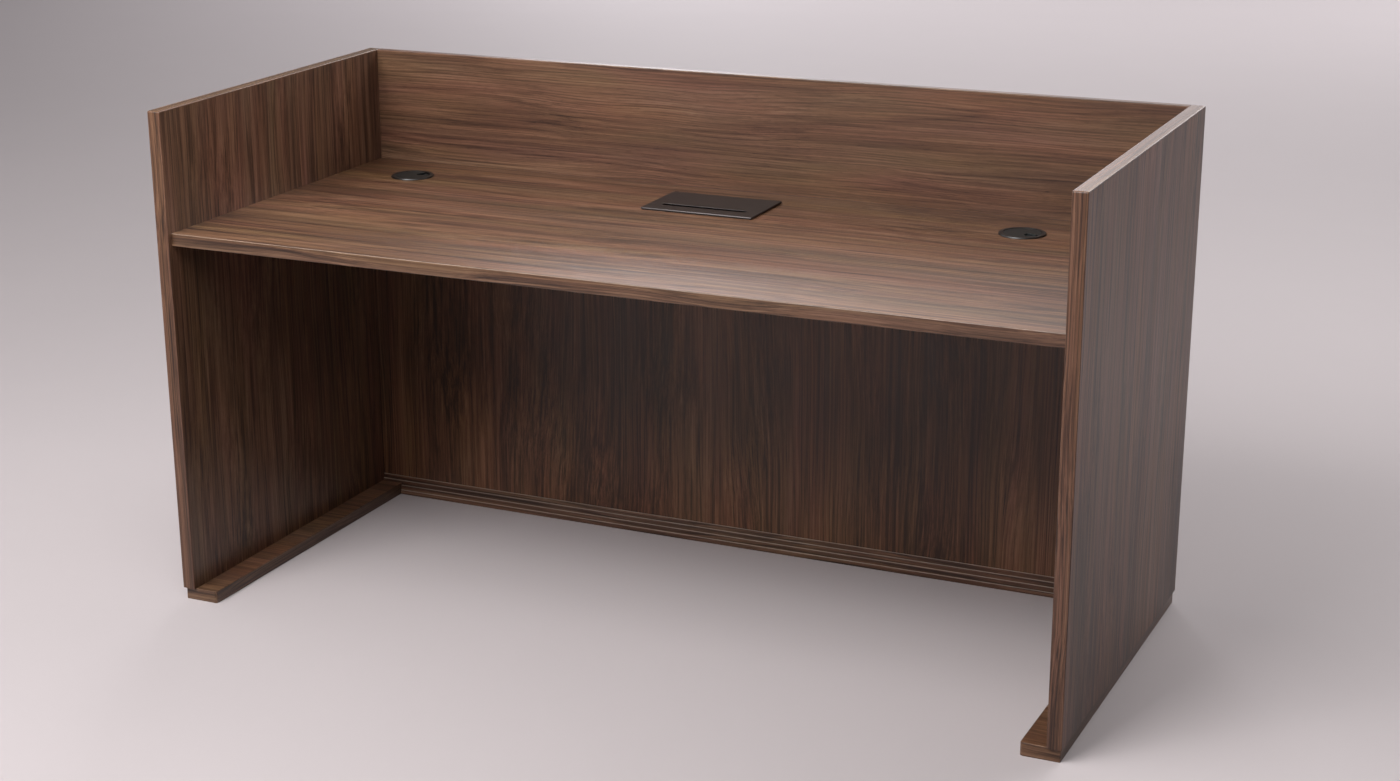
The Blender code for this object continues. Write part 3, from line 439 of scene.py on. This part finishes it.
# Half width of the pale line painted along the upper arris of these bands as a highlight
BAND_HIGHLIGHT_HALF_WIDTH, ONE_LINE = 0.0007, 1.0
for name, node, sheet, across, outward, corner, matt in (
        ("worktop_front_band", "worktop_front_edge_band", (2.7, 19.1, 0), "z", (0, -1, 0), 0.0020, 0.34),
        ("back_top_band", "back_top_edge_band", (2.7, 14.1, 0), "y", (0, 0, 1), 0.0016, 0.42)):
    low, high = (np.array(limit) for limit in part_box(node))
    outward = np.array(outward, float)
    face = np.where(outward < 0, low, np.where(outward > 0, high, (low + high) / 2))
    path = np.array([face, face])
    path[:, 0] = high[0], low[0]
    size = high - low
    half, thickness = size[1 if across == "y" else 2] / 2, abs(size @ outward) + BAND_GLUE
    girth = 2 * half + 2 * thickness - (4 - pi) * corner
    upper_arris = girth - (thickness - corner) - pi / 4 * corner
    edge_wood = timber(f"{name}_print", "x", "y", sheet, shade=0.51, coordinates="UV", bands=1.5, cloudy=0.15,
                       coarse=0.35, crisp=1.1, veins=(45, 0.1), rings=0.1, run=0.5, arch=0.03, matt=matt,
                       painted_highlight=("y", upper_arris, BAND_HIGHLIGHT_HALF_WIDTH, ONE_LINE))
    band(name, path, np.array([outward, outward]), AXES[across], half, thickness, corner, edge_wood, [node])


# Cleats, clips and screws
# The worktop hangs on two pressed steel angles, screwed to the end panels and up into the board. Spring clips
# hold the power box from below. All of it is zinc plated, dull, with the pale grain of the plating.
ZINC_TONES = ((0.0, (0.40, 0.41, 0.42)), (1.0, (0.66, 0.67, 0.68)))
SCRATCH_DEPTH = 0.00008


def zinc(name, grains):
    """Zinc plate: the grains are cells, each of its own tone, with fine scratches of noise over them."""
    material, shader, point = blank(name, Metallic=1.0)
    cells = point.node("TexVoronoi", None, {"Vector": point, "Scale": grains}, output="Color")
    grain = cells.node("SeparateColor", None, {0: cells})
    cloud = point.streaks((60, 60, 60), 3.0)
    scratch = point.streaks((90, 1400, 1400), 2.0)
    tone = grain * 0.35 + cloud * 0.6 + 0.32
    tone.ramp(ZINC_TONES).feed(shader, "Base Color")
    (0.34 + grain * 0.10 + cloud * 0.25).feed(shader, "Roughness")
    scratch.emboss(shader, 0.2, SCRATCH_DEPTH)
    return material


plate_zinc = zinc("cleat_zinc", 260.0)
screw_zinc = zinc("screw_zinc", 900.0)
for side in ("left", "right"):
    dress(plate_zinc, f"{side}_worktop_cleat", f"{side}_spring_clip")
    dress(screw_zinc, f"back_rail_{side}_screw", f"{side}_shutter_screw",
          *(f"{side}_{joint}_{end}_screw" for joint in ("rail", "cleat_panel", "cleat_worktop")
            for end in ("front", "rear")))


# Grommet liners
# A moulded liner drops into each cable hole: a bevelled flange on the worktop, a tube down the hole, and
# inside it a narrow seat for the cap. The plastic has the fine matt texture of a spark-eroded mould.
DARKEST, PALEST = 0.72, 1.28
TEXTURE_DEPTH = 0.00004


def moulded(name, colour, matt, gloss=0.5, grit=2600.0):
    """Moulded plastic: slow noise lifts and drops the colour and the shine, and fine noise is the mould's
    texture, with grit as the number of its waves a metre."""
    material, shader, point = blank(name, Specular_IOR_Level=gloss)
    flow = point.streaks((45, 45, 45), 3.0)
    texture = point.streaks((grit, grit, grit), 1.0)
    tone = flow * 0.9 + texture * 0.5 + 0.5
    dark, pale = (tuple(part * share for part in colour) for share in (DARKEST, PALEST))
    tone.ramp(((0.0, dark), (1.0, pale))).feed(shader, "Base Color")
    (matt + flow * 0.16 + texture * 0.10).feed(shader, "Roughness")
    texture.emboss(shader, 0.35, TEXTURE_DEPTH)
    return material


def arc(middle, radius, start, end, steps=6):
    """Points on a circle about the middle, from one angle to another in degrees."""
    turn = np.radians(np.linspace(start, end, steps + 1))
    return np.add(middle, radius * np.column_stack([np.cos(turn), np.sin(turn)]))


def turned(profile, centre, columns=128):
    """A profile of radius and height, carried round the upright axis through the centre."""
    radius, height = np.vstack(profile).T[:, :, None]
    turn = np.linspace(0, 2 * pi, columns, endpoint=False)
    return np.stack(np.broadcast_arrays(centre[0] + radius * np.cos(turn), centre[1] + radius * np.sin(turn),
                                        centre[2] + height), axis=-1)


FLANGE_RADIUS, FLANGE_TOP, FLANGE_FOOT, FLANGE_BEVEL = 0.0450, 0.0030, 0.0001, 0.0017
TUBE_RADIUS, TUBE_BORE, TUBE_FOOT = 0.0396, 0.0374, -0.0220
COLLAR_BORE, SEAT_BORE, SEAT_TOP, SEAT_FOOT = 0.0366, 0.0330, -0.0012, -0.0030
LIP = 0.0006
liner_profile = [
    (TUBE_RADIUS - LIP, TUBE_FOOT), (TUBE_RADIUS, TUBE_FOOT + LIP), (TUBE_RADIUS, FLANGE_FOOT),
    (FLANGE_RADIUS - LIP / 2, FLANGE_FOOT), (FLANGE_RADIUS, FLANGE_FOOT + LIP / 3),
    (FLANGE_RADIUS, FLANGE_FOOT + LIP / 2), (FLANGE_RADIUS - FLANGE_BEVEL + LIP / 4, FLANGE_TOP - LIP / 3),
    *arc((FLANGE_RADIUS - FLANGE_BEVEL - LIP / 2, FLANGE_TOP - LIP), LIP, 40, 90, 4),
    (FLANGE_RADIUS - FLANGE_BEVEL - LIP, FLANGE_TOP), (COLLAR_BORE + LIP * 1.6, FLANGE_TOP),
    *arc((COLLAR_BORE + LIP, FLANGE_TOP - LIP), LIP, 90, 180),
    (COLLAR_BORE, SEAT_TOP), (SEAT_BORE + LIP / 2, SEAT_TOP), (SEAT_BORE, SEAT_TOP - LIP / 2),
    (SEAT_BORE, SEAT_FOOT), (TUBE_BORE, SEAT_FOOT), (TUBE_BORE, TUBE_FOOT + LIP / 2),
    (TUBE_BORE + LIP / 2, TUBE_FOOT)]
liner_black = moulded("liner_black", (0.0105, 0.0095, 0.0092), 0.32)
grommets = {}
for side in ("left", "right"):
    low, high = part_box(f"{side}_grommet_liner")
    grommets[side] = ((low.x + high.x) / 2, (low.y + high.y) / 2, worktop_top)
    liner = turned(liner_profile, grommets[side])
    skin(f"{side}_liner", "bench", [liner_black], rings=[liner],
         replaces=[f"{side}_grommet_liner"])


# Grommet caps and shutters
# A moulded cap drops onto each liner's seat and turns there. Cables leave through the notch in its rim, which
# a paddle under the cap opens and shuts by a thumb nib. A screw in the cap's boss keeps the paddle up.
CAP_RADIUS, CAP_TOP, CAP_FOOT, CAP_ARRIS = 0.0363, 0.0024, -0.0009, 0.0008
NOTCH_REACH, NOTCH_CORNER, NOTCH_FILLET = 0.0100, 0.0020, 0.0016
NOTCH_HALF = radians(24.06)
BOSS_RADIUS, BOSS_FOOT = 0.0040, -0.0032
NOTCH_HEADING = {"left": radians(46), "right": radians(-35)}


def notched(inset, rim_steps=56):
    """The cap in plan, as complex numbers about its axis, with the notch along the first axis. One half is
    the notch's inner arc, a fillet, its radial side, a rounded corner and the rim as far as the other end.
    The second half mirrors it. The inset draws all of it in."""
    side = np.exp(1j * NOTCH_HALF)
    hollow = side * (np.sqrt((NOTCH_REACH + NOTCH_FILLET) ** 2 - NOTCH_FILLET ** 2) - 1j * NOTCH_FILLET)
    corner = side * (np.sqrt((CAP_RADIUS - NOTCH_CORNER) ** 2 - NOTCH_CORNER ** 2) + 1j * NOTCH_CORNER)
    pieces = ((0, NOTCH_REACH - inset, 0, np.angle(hollow), 5),
              (hollow, NOTCH_FILLET + inset, np.angle(hollow) + pi, NOTCH_HALF + pi / 2, 5),
              (corner, NOTCH_CORNER - inset, NOTCH_HALF - pi / 2, np.angle(corner), 5),
              (0, CAP_RADIUS - inset, np.angle(corner), pi, rim_steps))
    half = [middle + radius * np.exp(1j * np.linspace(start, end, steps + 1)[:steps])
            for middle, radius, start, end, steps in pieces]
    half = np.concatenate([*half, [inset - CAP_RADIUS]])
    return np.concatenate([half, half[-2:0:-1].conj()])


cap_black = moulded("cap_black", (0.0150, 0.0182, 0.0182), 0.40, gloss=0.28)
shutter_grey = moulded("shutter_grey", (0.026, 0.028, 0.028), 0.42)
cap_edge = rounded_edge(CAP_FOOT, CAP_TOP, CAP_ARRIS)
boss_profile = [(BOSS_RADIUS - LIP / 2, BOSS_FOOT), (BOSS_RADIUS, BOSS_FOOT + LIP / 2), (BOSS_RADIUS, 0.0)]
for side, heading in NOTCH_HEADING.items():
    centre = np.array(grommets[side])
    plans = [notched(inset) * np.exp(1j * heading) + complex(*centre[:2]) for inset in cap_edge[:, 0]]
    disc = raised([(np.column_stack([plan.real, plan.imag]), centre[2] + height)
                   for plan, height in zip(plans, cap_edge[:, 1])])
    boss = turned(boss_profile, centre, 48)
    skin(f"{side}_cap_disc", f"{side}_cap", [cap_black], [disc, boss],
         replaces=[f"{side}_grommet_cap"])
    dress(shutter_grey, f"{side}_grommet_shutter")


# Power box frame
# A pressed frame drops into the worktop's cut-out: a thin flange on the worktop, a collar down the cut-out,
# and two ears at the back that hold the hinge pin. Like the lid, it is brushed and stained to a dark bronze.
BRONZE_TONES = ((0.0, (0.039, 0.034, 0.034)), (1.0, (0.085, 0.075, 0.074)))
BRUSH_DEPTH = 0.00005


def bronze(name):
    """Metal brushed along x, under a dark stain: noise drawn out along the brushing sets the tone and the
    shine, and slow clouds are the unevenness of the stain."""
    material, shader, point = blank(name, Metallic=0.8, Specular_IOR_Level=0.5)
    brush = point.streaks((9, 1500, 1500), 3.0, 0.6)
    cloud = point.streaks((14, 14, 14), 3.0)
    tone = brush * 0.9 + cloud * 0.5 + 0.5
    tone.ramp(BRONZE_TONES).feed(shader, "Base Color")
    (0.36 + brush * 0.20 + cloud * 0.10).feed(shader, "Roughness")
    brush.emboss(shader, 0.15, BRUSH_DEPTH)
    return material


lid_low, lid_high = (np.array(corner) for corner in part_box("power_box_lid"))
box_centre = ((lid_low + lid_high) / 2)[:2]
low, high = (np.array(corner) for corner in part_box("power_box_frame"))
OPENING_HALF = np.array((0.1010, 0.0615))
COLLAR_WALL = 0.0030
COLLAR_CORNER, RIM_CORNER, OPENING_CORNER = 0.0030, 0.0012, 0.0006
RIM_RISE, RIM_GAP, RIM_ARRIS = 0.0015, 0.0001, 0.0003
rim_top, rim_foot = worktop_top + RIM_RISE, worktop_top + RIM_GAP
opening = (box_centre - OPENING_HALF, box_centre + OPENING_HALF)
collar = (opening[0] - COLLAR_WALL, opening[1] + COLLAR_WALL)
rim = (low[:2], high[:2])
frame_rows = [(collar, COLLAR_CORNER, 0.0, low[2]), (collar, COLLAR_CORNER, 0.0, rim_foot),
              (rim, RIM_CORNER, 0.0, rim_foot), (rim, RIM_CORNER, 0.0, rim_top - RIM_ARRIS),
              (rim, RIM_CORNER, RIM_ARRIS, rim_top), (rim, RIM_CORNER, 2 * RIM_ARRIS, rim_top),
              (opening, OPENING_CORNER, -2 * RIM_ARRIS, rim_top),
              (opening, OPENING_CORNER, -RIM_ARRIS, rim_top),
              (opening, OPENING_CORNER, 0.0, rim_top - RIM_ARRIS), (opening, OPENING_CORNER, 0.0, low[2])]
frame_hoop = raised([(outline(*sides, [corner] * 4, inset), height)
                     for sides, corner, inset, height in frame_rows])

HINGE_RADIUS, HINGE_BORE = 0.0016, 0.0010
EAR_REACH = (0.1064, 0.1154)
hinge = np.array((lid_high[1] - HINGE_RADIUS, (lid_low[2] + lid_high[2]) / 2))
ear_foot = rim_top - 2 * RIM_ARRIS
ear_section = np.vstack([(hinge[0] + HINGE_RADIUS, ear_foot), arc(hinge, HINGE_RADIUS, 0, 180, 12),
                         (hinge[0] - HINGE_RADIUS, ear_foot)])
around = np.radians([-45, *range(0, 181, 15), 225])
ear_bore = hinge + HINGE_BORE * np.column_stack([np.cos(around), np.sin(around)])
ears = []
for reach in (EAR_REACH, (-EAR_REACH[1], -EAR_REACH[0])):
    near, far = box_centre[0] + np.array(reach)
    ears.append(np.concatenate([carried(ear_section, (near, far)), carried(ear_bore, (far, near))]))
skin("power_frame", "bench", [bronze("frame_bronze")], rings=[frame_hoop, *ears],
     replaces=["power_box_frame"])
dress(screw_zinc, "power_box_hinge_pin")


# Power box lid
# A cast plate, hollow below, brushed from side to side, that swings up on the pin. Its edges are eased at the
# top, the rear edge is turned to a full round about the pin, and a slot lets cables out and a finger in.
LID_CORNER, LID_ARRIS, NOTCH_ARRIS, LID_FOOT_ARRIS = 0.0018, 0.0003, 0.0003, 0.0002
LID_BEVEL, LID_BEVEL_DEPTH = 0.0009, 0.0015
REAR_ROUND = 0.0015
EAR_NOTCH = np.array((0.1058, 0.0747))
EAR_NOTCH_FILLET = 0.0005
SLOT_SIZE, SLOT_FROM_FRONT = np.array((0.1780, 0.0140)), 0.0425
SLOT_CORNER, SLOT_ARRIS = 0.0050, 0.0008
WEB, WALL = 0.0010, 0.0035
SLOT_WALL_ROWS = 3


def drawn_in(height, foot, top):
    """How far a side of the lid is drawn in at a height, with a quarter round of its own at foot and top."""
    over = np.maximum(height - (lid_high[2] - top), 0)
    under = np.maximum(lid_low[2] + foot - height, 0)
    return top - np.sqrt(top ** 2 - over ** 2) + foot - np.sqrt(foot ** 2 - under ** 2)


half_lid = ((lid_high - lid_low) / 2)[:2]
eased = EAR_NOTCH_FILLET * (1 - np.sqrt(0.5))
rear_corner = np.array([(half_lid[0], EAR_NOTCH[1]), EAR_NOTCH + (EAR_NOTCH_FILLET, 0), EAR_NOTCH + eased,
                        EAR_NOTCH + (0, EAR_NOTCH_FILLET), (EAR_NOTCH[0], half_lid[1])])
# Which way each point of the corner goes as that side of the lid is drawn in
rear_ways = {"side": np.array([(1, 0), (0, 0), (0, 0), (0, 0), (0, 0)]),
             "notch": np.array([(0, 1), (0, 1), (0.7, 0.7), (1, 0), (1, 0)]),
             "rear": np.array([(0, 0), (0, 0), (0, 0), (0, 0), (0, 1)])}
front_way = arc((0, 0), 1.0, -90, 0, 4)
front_corner = front_way * LID_CORNER + (half_lid[0] - LID_CORNER, LID_CORNER - half_lid[1])


def bevelled(height):
    """How far the lid's sides and front are drawn in at a height: a straight bevel, rounded into the top."""
    into = np.clip(height - (lid_high[2] - LID_BEVEL_DEPTH), 0, None) / LID_BEVEL_DEPTH
    return LID_BEVEL * into + drawn_in(height, LID_FOOT_ARRIS, LID_ARRIS)


def lid_plan(side, notch, rear):
    """The lid in plan, counter-clockwise from its right rear corner, with its sides and front, its two ear
    notches and its rear edge each drawn in by their own distance."""
    corner = rear_corner - side * rear_ways["side"] - notch * rear_ways["notch"] - rear * rear_ways["rear"]
    front = front_corner - side * front_way
    return box_centre + np.vstack([corner, corner[::-1] * (-1, 1), front[::-1] * (-1, 1), front])


turn = np.linspace(0, pi / 2, 7)
rise = REAR_ROUND * (1 - np.cos(turn))
levels = np.concatenate([lid_low[2] + rise, lid_high[2] - rise[::-1]])
hollow_top = lid_high[2] - WEB
lid_rings = [(lid_plan(WALL, WALL, WALL + HOLD), hollow_top), (lid_plan(WALL, WALL, WALL + HOLD), lid_low[2]),
             (lid_plan(LID_FOOT_ARRIS + HOLD, LID_FOOT_ARRIS + HOLD, REAR_ROUND + HOLD), lid_low[2])]
lid_rings += [(lid_plan(bevelled(level), drawn_in(level, LID_FOOT_ARRIS, NOTCH_ARRIS),
                        drawn_in(level, REAR_ROUND, REAR_ROUND)), level) for level in levels]
lid_rings += [(lid_plan(LID_BEVEL + LID_ARRIS + HOLD, NOTCH_ARRIS + HOLD, REAR_ROUND + HOLD), lid_high[2])]
slot_centre = np.array((box_centre[0], lid_low[1] + SLOT_FROM_FRONT))
slot = (slot_centre - SLOT_SIZE / 2, slot_centre + SLOT_SIZE / 2)
slot_rows = [(SLOT_ARRIS + HOLD, lid_high[2])]
slot_rows += [(SLOT_ARRIS * (1 - np.sin(angle)), lid_high[2] - SLOT_ARRIS * (1 - np.cos(angle)))
              for angle in turn]
slot_rows += [(0.0, hollow_top), (HOLD, hollow_top)]
lid_rings += [(outline(*slot, [SLOT_CORNER] * 4, -spread, 4), height) for spread, height in slot_rows]
# Near-black painted shade for the slot's walls and the hollow's ceiling under it, in place of the lid's
# bronze
slot_painted_shade = moulded("slot_painted_shade", (0.006, 0.006, 0.006), 0.6, gloss=0.2)
lid = skin("power_lid_plate", "power_lid", [bronze("lid_bronze"), slot_painted_shade],
           rings=[raised(lid_rings)], replaces=["power_box_lid"])
# The last rows are the slot's wall and the ceiling of the hollow under it; they get the near-black painted
# shade
row = np.arange(len(lid.data.polygons)) // len(lid_rings[0][0])
painted_shade_rows = row >= len(lid_rings) - SLOT_WALL_ROWS
lid.data.polygons.foreach_set("material_index", painted_shade_rows.astype(int))


# Power box tray and sockets
# A folded steel tray, powder coated, hangs in the frame. On its floor stands a moulded rail with two mains
# sockets and a data outlet, snapped in from the front.
dress(moulded("tray_powder_coat", (0.030, 0.030, 0.032), 0.5, grit=1100.0), "power_box_tray")
dress(moulded("rail_plastic", (0.060, 0.061, 0.064), 0.42), "socket_rail")
dress(moulded("socket_plastic_face", (0.33, 0.33, 0.32), 0.36), "left_mains_socket", "right_mains_socket",
      "data_socket")


# Floor
# A seamless sheet of pale studio vinyl. It sends less light up under the bench than it shows. Where the
# lights don't reach, far in front, behind and at the sides, it shows a pale glow of its own.
VINYL_TONES = ((0.0, (0.575, 0.525, 0.536)), (1.0, (0.605, 0.551, 0.562)))
BOUNCE_TONE = (0.30, 0.276, 0.28, 1)
GLOW_TONE, NO_GLOW = (0.50, 0.456, 0.464, 1), (0, 0, 0, 1)
FLOOR_REACH = 30.0


def fades(value, start, end):
    """A smooth step from nothing at the start to all at the end."""
    return value.node("MapRange", {"interpolation_type": "SMOOTHSTEP"}, {"Value": value, 1: start, 2: end})


material, shader, point = blank("studio_floor", Roughness=0.75, Specular_IOR_Level=0.2, Emission_Strength=1.0)
speck = point.streaks((3, 3, 3), 4.0) * 0.5 + 0.5
vinyl = speck.ramp(VINYL_TONES)
seen, mirrored, bounced = (vinyl.node("LightPath", output=f"Is {ray} Ray")
                           for ray in ("Camera", "Glossy", "Diffuse"))
vinyl.mix(bounced, vinyl, BOUNCE_TONE).feed(shader, "Base Color")
across, depth = (point.node("SeparateXYZ", None, {0: point}, output=axis) for axis in ("X", "Y"))
unlit = fades(across.math("ABSOLUTE", across), 2.5, 6.0) * fades(depth, 2.0, -1.0)
far_right, far_left = fades(across, 3.4, 5.4), fades(across, -7.2, -9.0)
in_front, far_back = fades(depth, -2.0, -5.0), fades(depth, 10.5, 12.5)
for edge in (far_right, far_left, in_front, far_back):
    unlit = unlit.math("MAXIMUM", unlit, edge)
unlit.mix((seen + mirrored) * unlit, NO_GLOW, GLOW_TONE).feed(shader, "Emission Color")
mesh = bpy.data.meshes.new("studio_floor")
corners = np.array([(-1, -1, 0), (1, -1, 0), (1, 1, 0), (-1, 1, 0)]) * FLOOR_REACH
mesh.from_pydata(corners, [], [(0, 1, 2, 3)])
mesh.materials.append(material)
floor = bpy.data.objects.new("studio_floor", mesh)
bpy.context.scene.collection.objects.link(floor)


# Light
# Large soft lights overhead and from the front left, a wall of light far behind the bench that shows on the
# worktop, another over the floor back there, and a room all round that is pale to look at, fainter in
# reflections, and gives little light.
WARM_WHITE = (1.0, 0.985, 0.98)
COOL_WHITE = (0.98, 0.965, 1.0)
ROOM_TONE = (1.0, 0.93, 0.945, 1)
ROOM_SEEN, ROOM_MIRRORED, ROOM_LIGHT = 0.5, 0.13, 0.01
BENCH_MIDDLE = (0.0, 0.0, 0.5)
OVERHEAD = 2.4
WALL_DEPTH, WALL_MIDDLE, WALL_LEFT, WALL_WIDTH, WALL_HEIGHT = 10.5, 3.2, -5.0, 2.0, 4.6


def soft_light(name, place, target, width, height, power, colour):
    """A rectangle of light at a place, turned to face the target and hidden from the camera."""
    lamp = bpy.data.lights.new(name, "AREA")
    lamp.shape, lamp.size, lamp.size_y = "RECTANGLE", width, height
    lamp.energy, lamp.color = power, colour
    light = bpy.data.objects.new(name, lamp)
    aim = (Vector(target) - Vector(place)).to_track_quat("-Z", "Y").to_matrix().to_4x4()
    light.matrix_world = Matrix.Translation(place) @ aim
    light.visible_camera = False
    bpy.context.scene.collection.objects.link(light)


for name, aside, forward, power in (("left", -1.6, -1.8, 21), ("middle", -0.45, -1.55, 35),
                                    ("right", 0.7, -1.6, 11.5)):
    soft_light(f"{name}_overhead_light", (aside, forward, OVERHEAD), BENCH_MIDDLE, 2.2, 1.6, power,
               WARM_WHITE)
soft_light("front_light", (-1.4, -4.0, 4.2), BENCH_MIDDLE, 2.8, 2.4, 146, WARM_WHITE)
soft_light("rear_light", (2.0, 2.4, 3.2), BENCH_MIDDLE, 3.2, 2.0, 61, WARM_WHITE)
soft_light("left_light", (-5.0, 0.0, 3.0), BENCH_MIDDLE, 3.0, 3.0, 39, WARM_WHITE)
for number, power in enumerate((174, 45, 22, 98, 45)):
    aside = WALL_LEFT + WALL_WIDTH * number
    soft_light(f"wall_light_{number}", (aside, WALL_DEPTH, WALL_MIDDLE), (aside, 0.0, WALL_MIDDLE),
               WALL_WIDTH, WALL_HEIGHT, power, COOL_WHITE)
soft_light("floor_light", (0.0, 8.0, 6.0), (0.0, 8.0, 0.0), 8.0, 6.0, 299, WARM_WHITE)
world = bpy.data.worlds.new("studio_room")
world.use_nodes = True
room = world.node_tree.nodes["Background"]
room.inputs["Color"].default_value = ROOM_TONE
strength = Finish(room.inputs["Strength"])
seen, mirrored = (strength.node("LightPath", output=f"Is {ray} Ray") for ray in ("Camera", "Glossy"))
(seen * ROOM_SEEN + mirrored * ROOM_MIRRORED + ROOM_LIGHT).feed(room, "Strength")
bpy.context.scene.world = world
bpy.context.scene.view_settings.view_transform = "Standard"


# Camera
# It stands where the photograph was taken from, with that lens. Both were worked out from the bench's edges,
# and the centre pixel is where the lens looks straight ahead.
PHOTO_WIDTH, PHOTO_HEIGHT = 1400, 781
FOCAL_PIXELS = 2381.64
CENTRE_PIXEL = (635.96, 433.95)
CAMERA_PLACE = (1.85541, -3.97360, 1.80344)
CAMERA_HEADING, CAMERA_DIP, CAMERA_ROLL = radians(26.00), radians(18.35), radians(-0.71)
lens = bpy.data.cameras.new("camera")
lens.sensor_width = 36.0
lens.lens = lens.sensor_width * FOCAL_PIXELS / PHOTO_WIDTH
lens.shift_x = (PHOTO_WIDTH / 2 - CENTRE_PIXEL[0]) / PHOTO_WIDTH
lens.shift_y = (CENTRE_PIXEL[1] - PHOTO_HEIGHT / 2) / PHOTO_WIDTH
lens.clip_end = 200.0
camera = bpy.data.objects.new("camera", lens)
aim = Matrix.Rotation(CAMERA_HEADING, 4, "Z") @ Matrix.Rotation(pi / 2 - CAMERA_DIP, 4, "X")
camera.matrix_world = Matrix.Translation(CAMERA_PLACE) @ aim @ Matrix.Rotation(CAMERA_ROLL, 4, "Z")
bpy.context.scene.collection.objects.link(camera)
bpy.context.scene.camera = camera
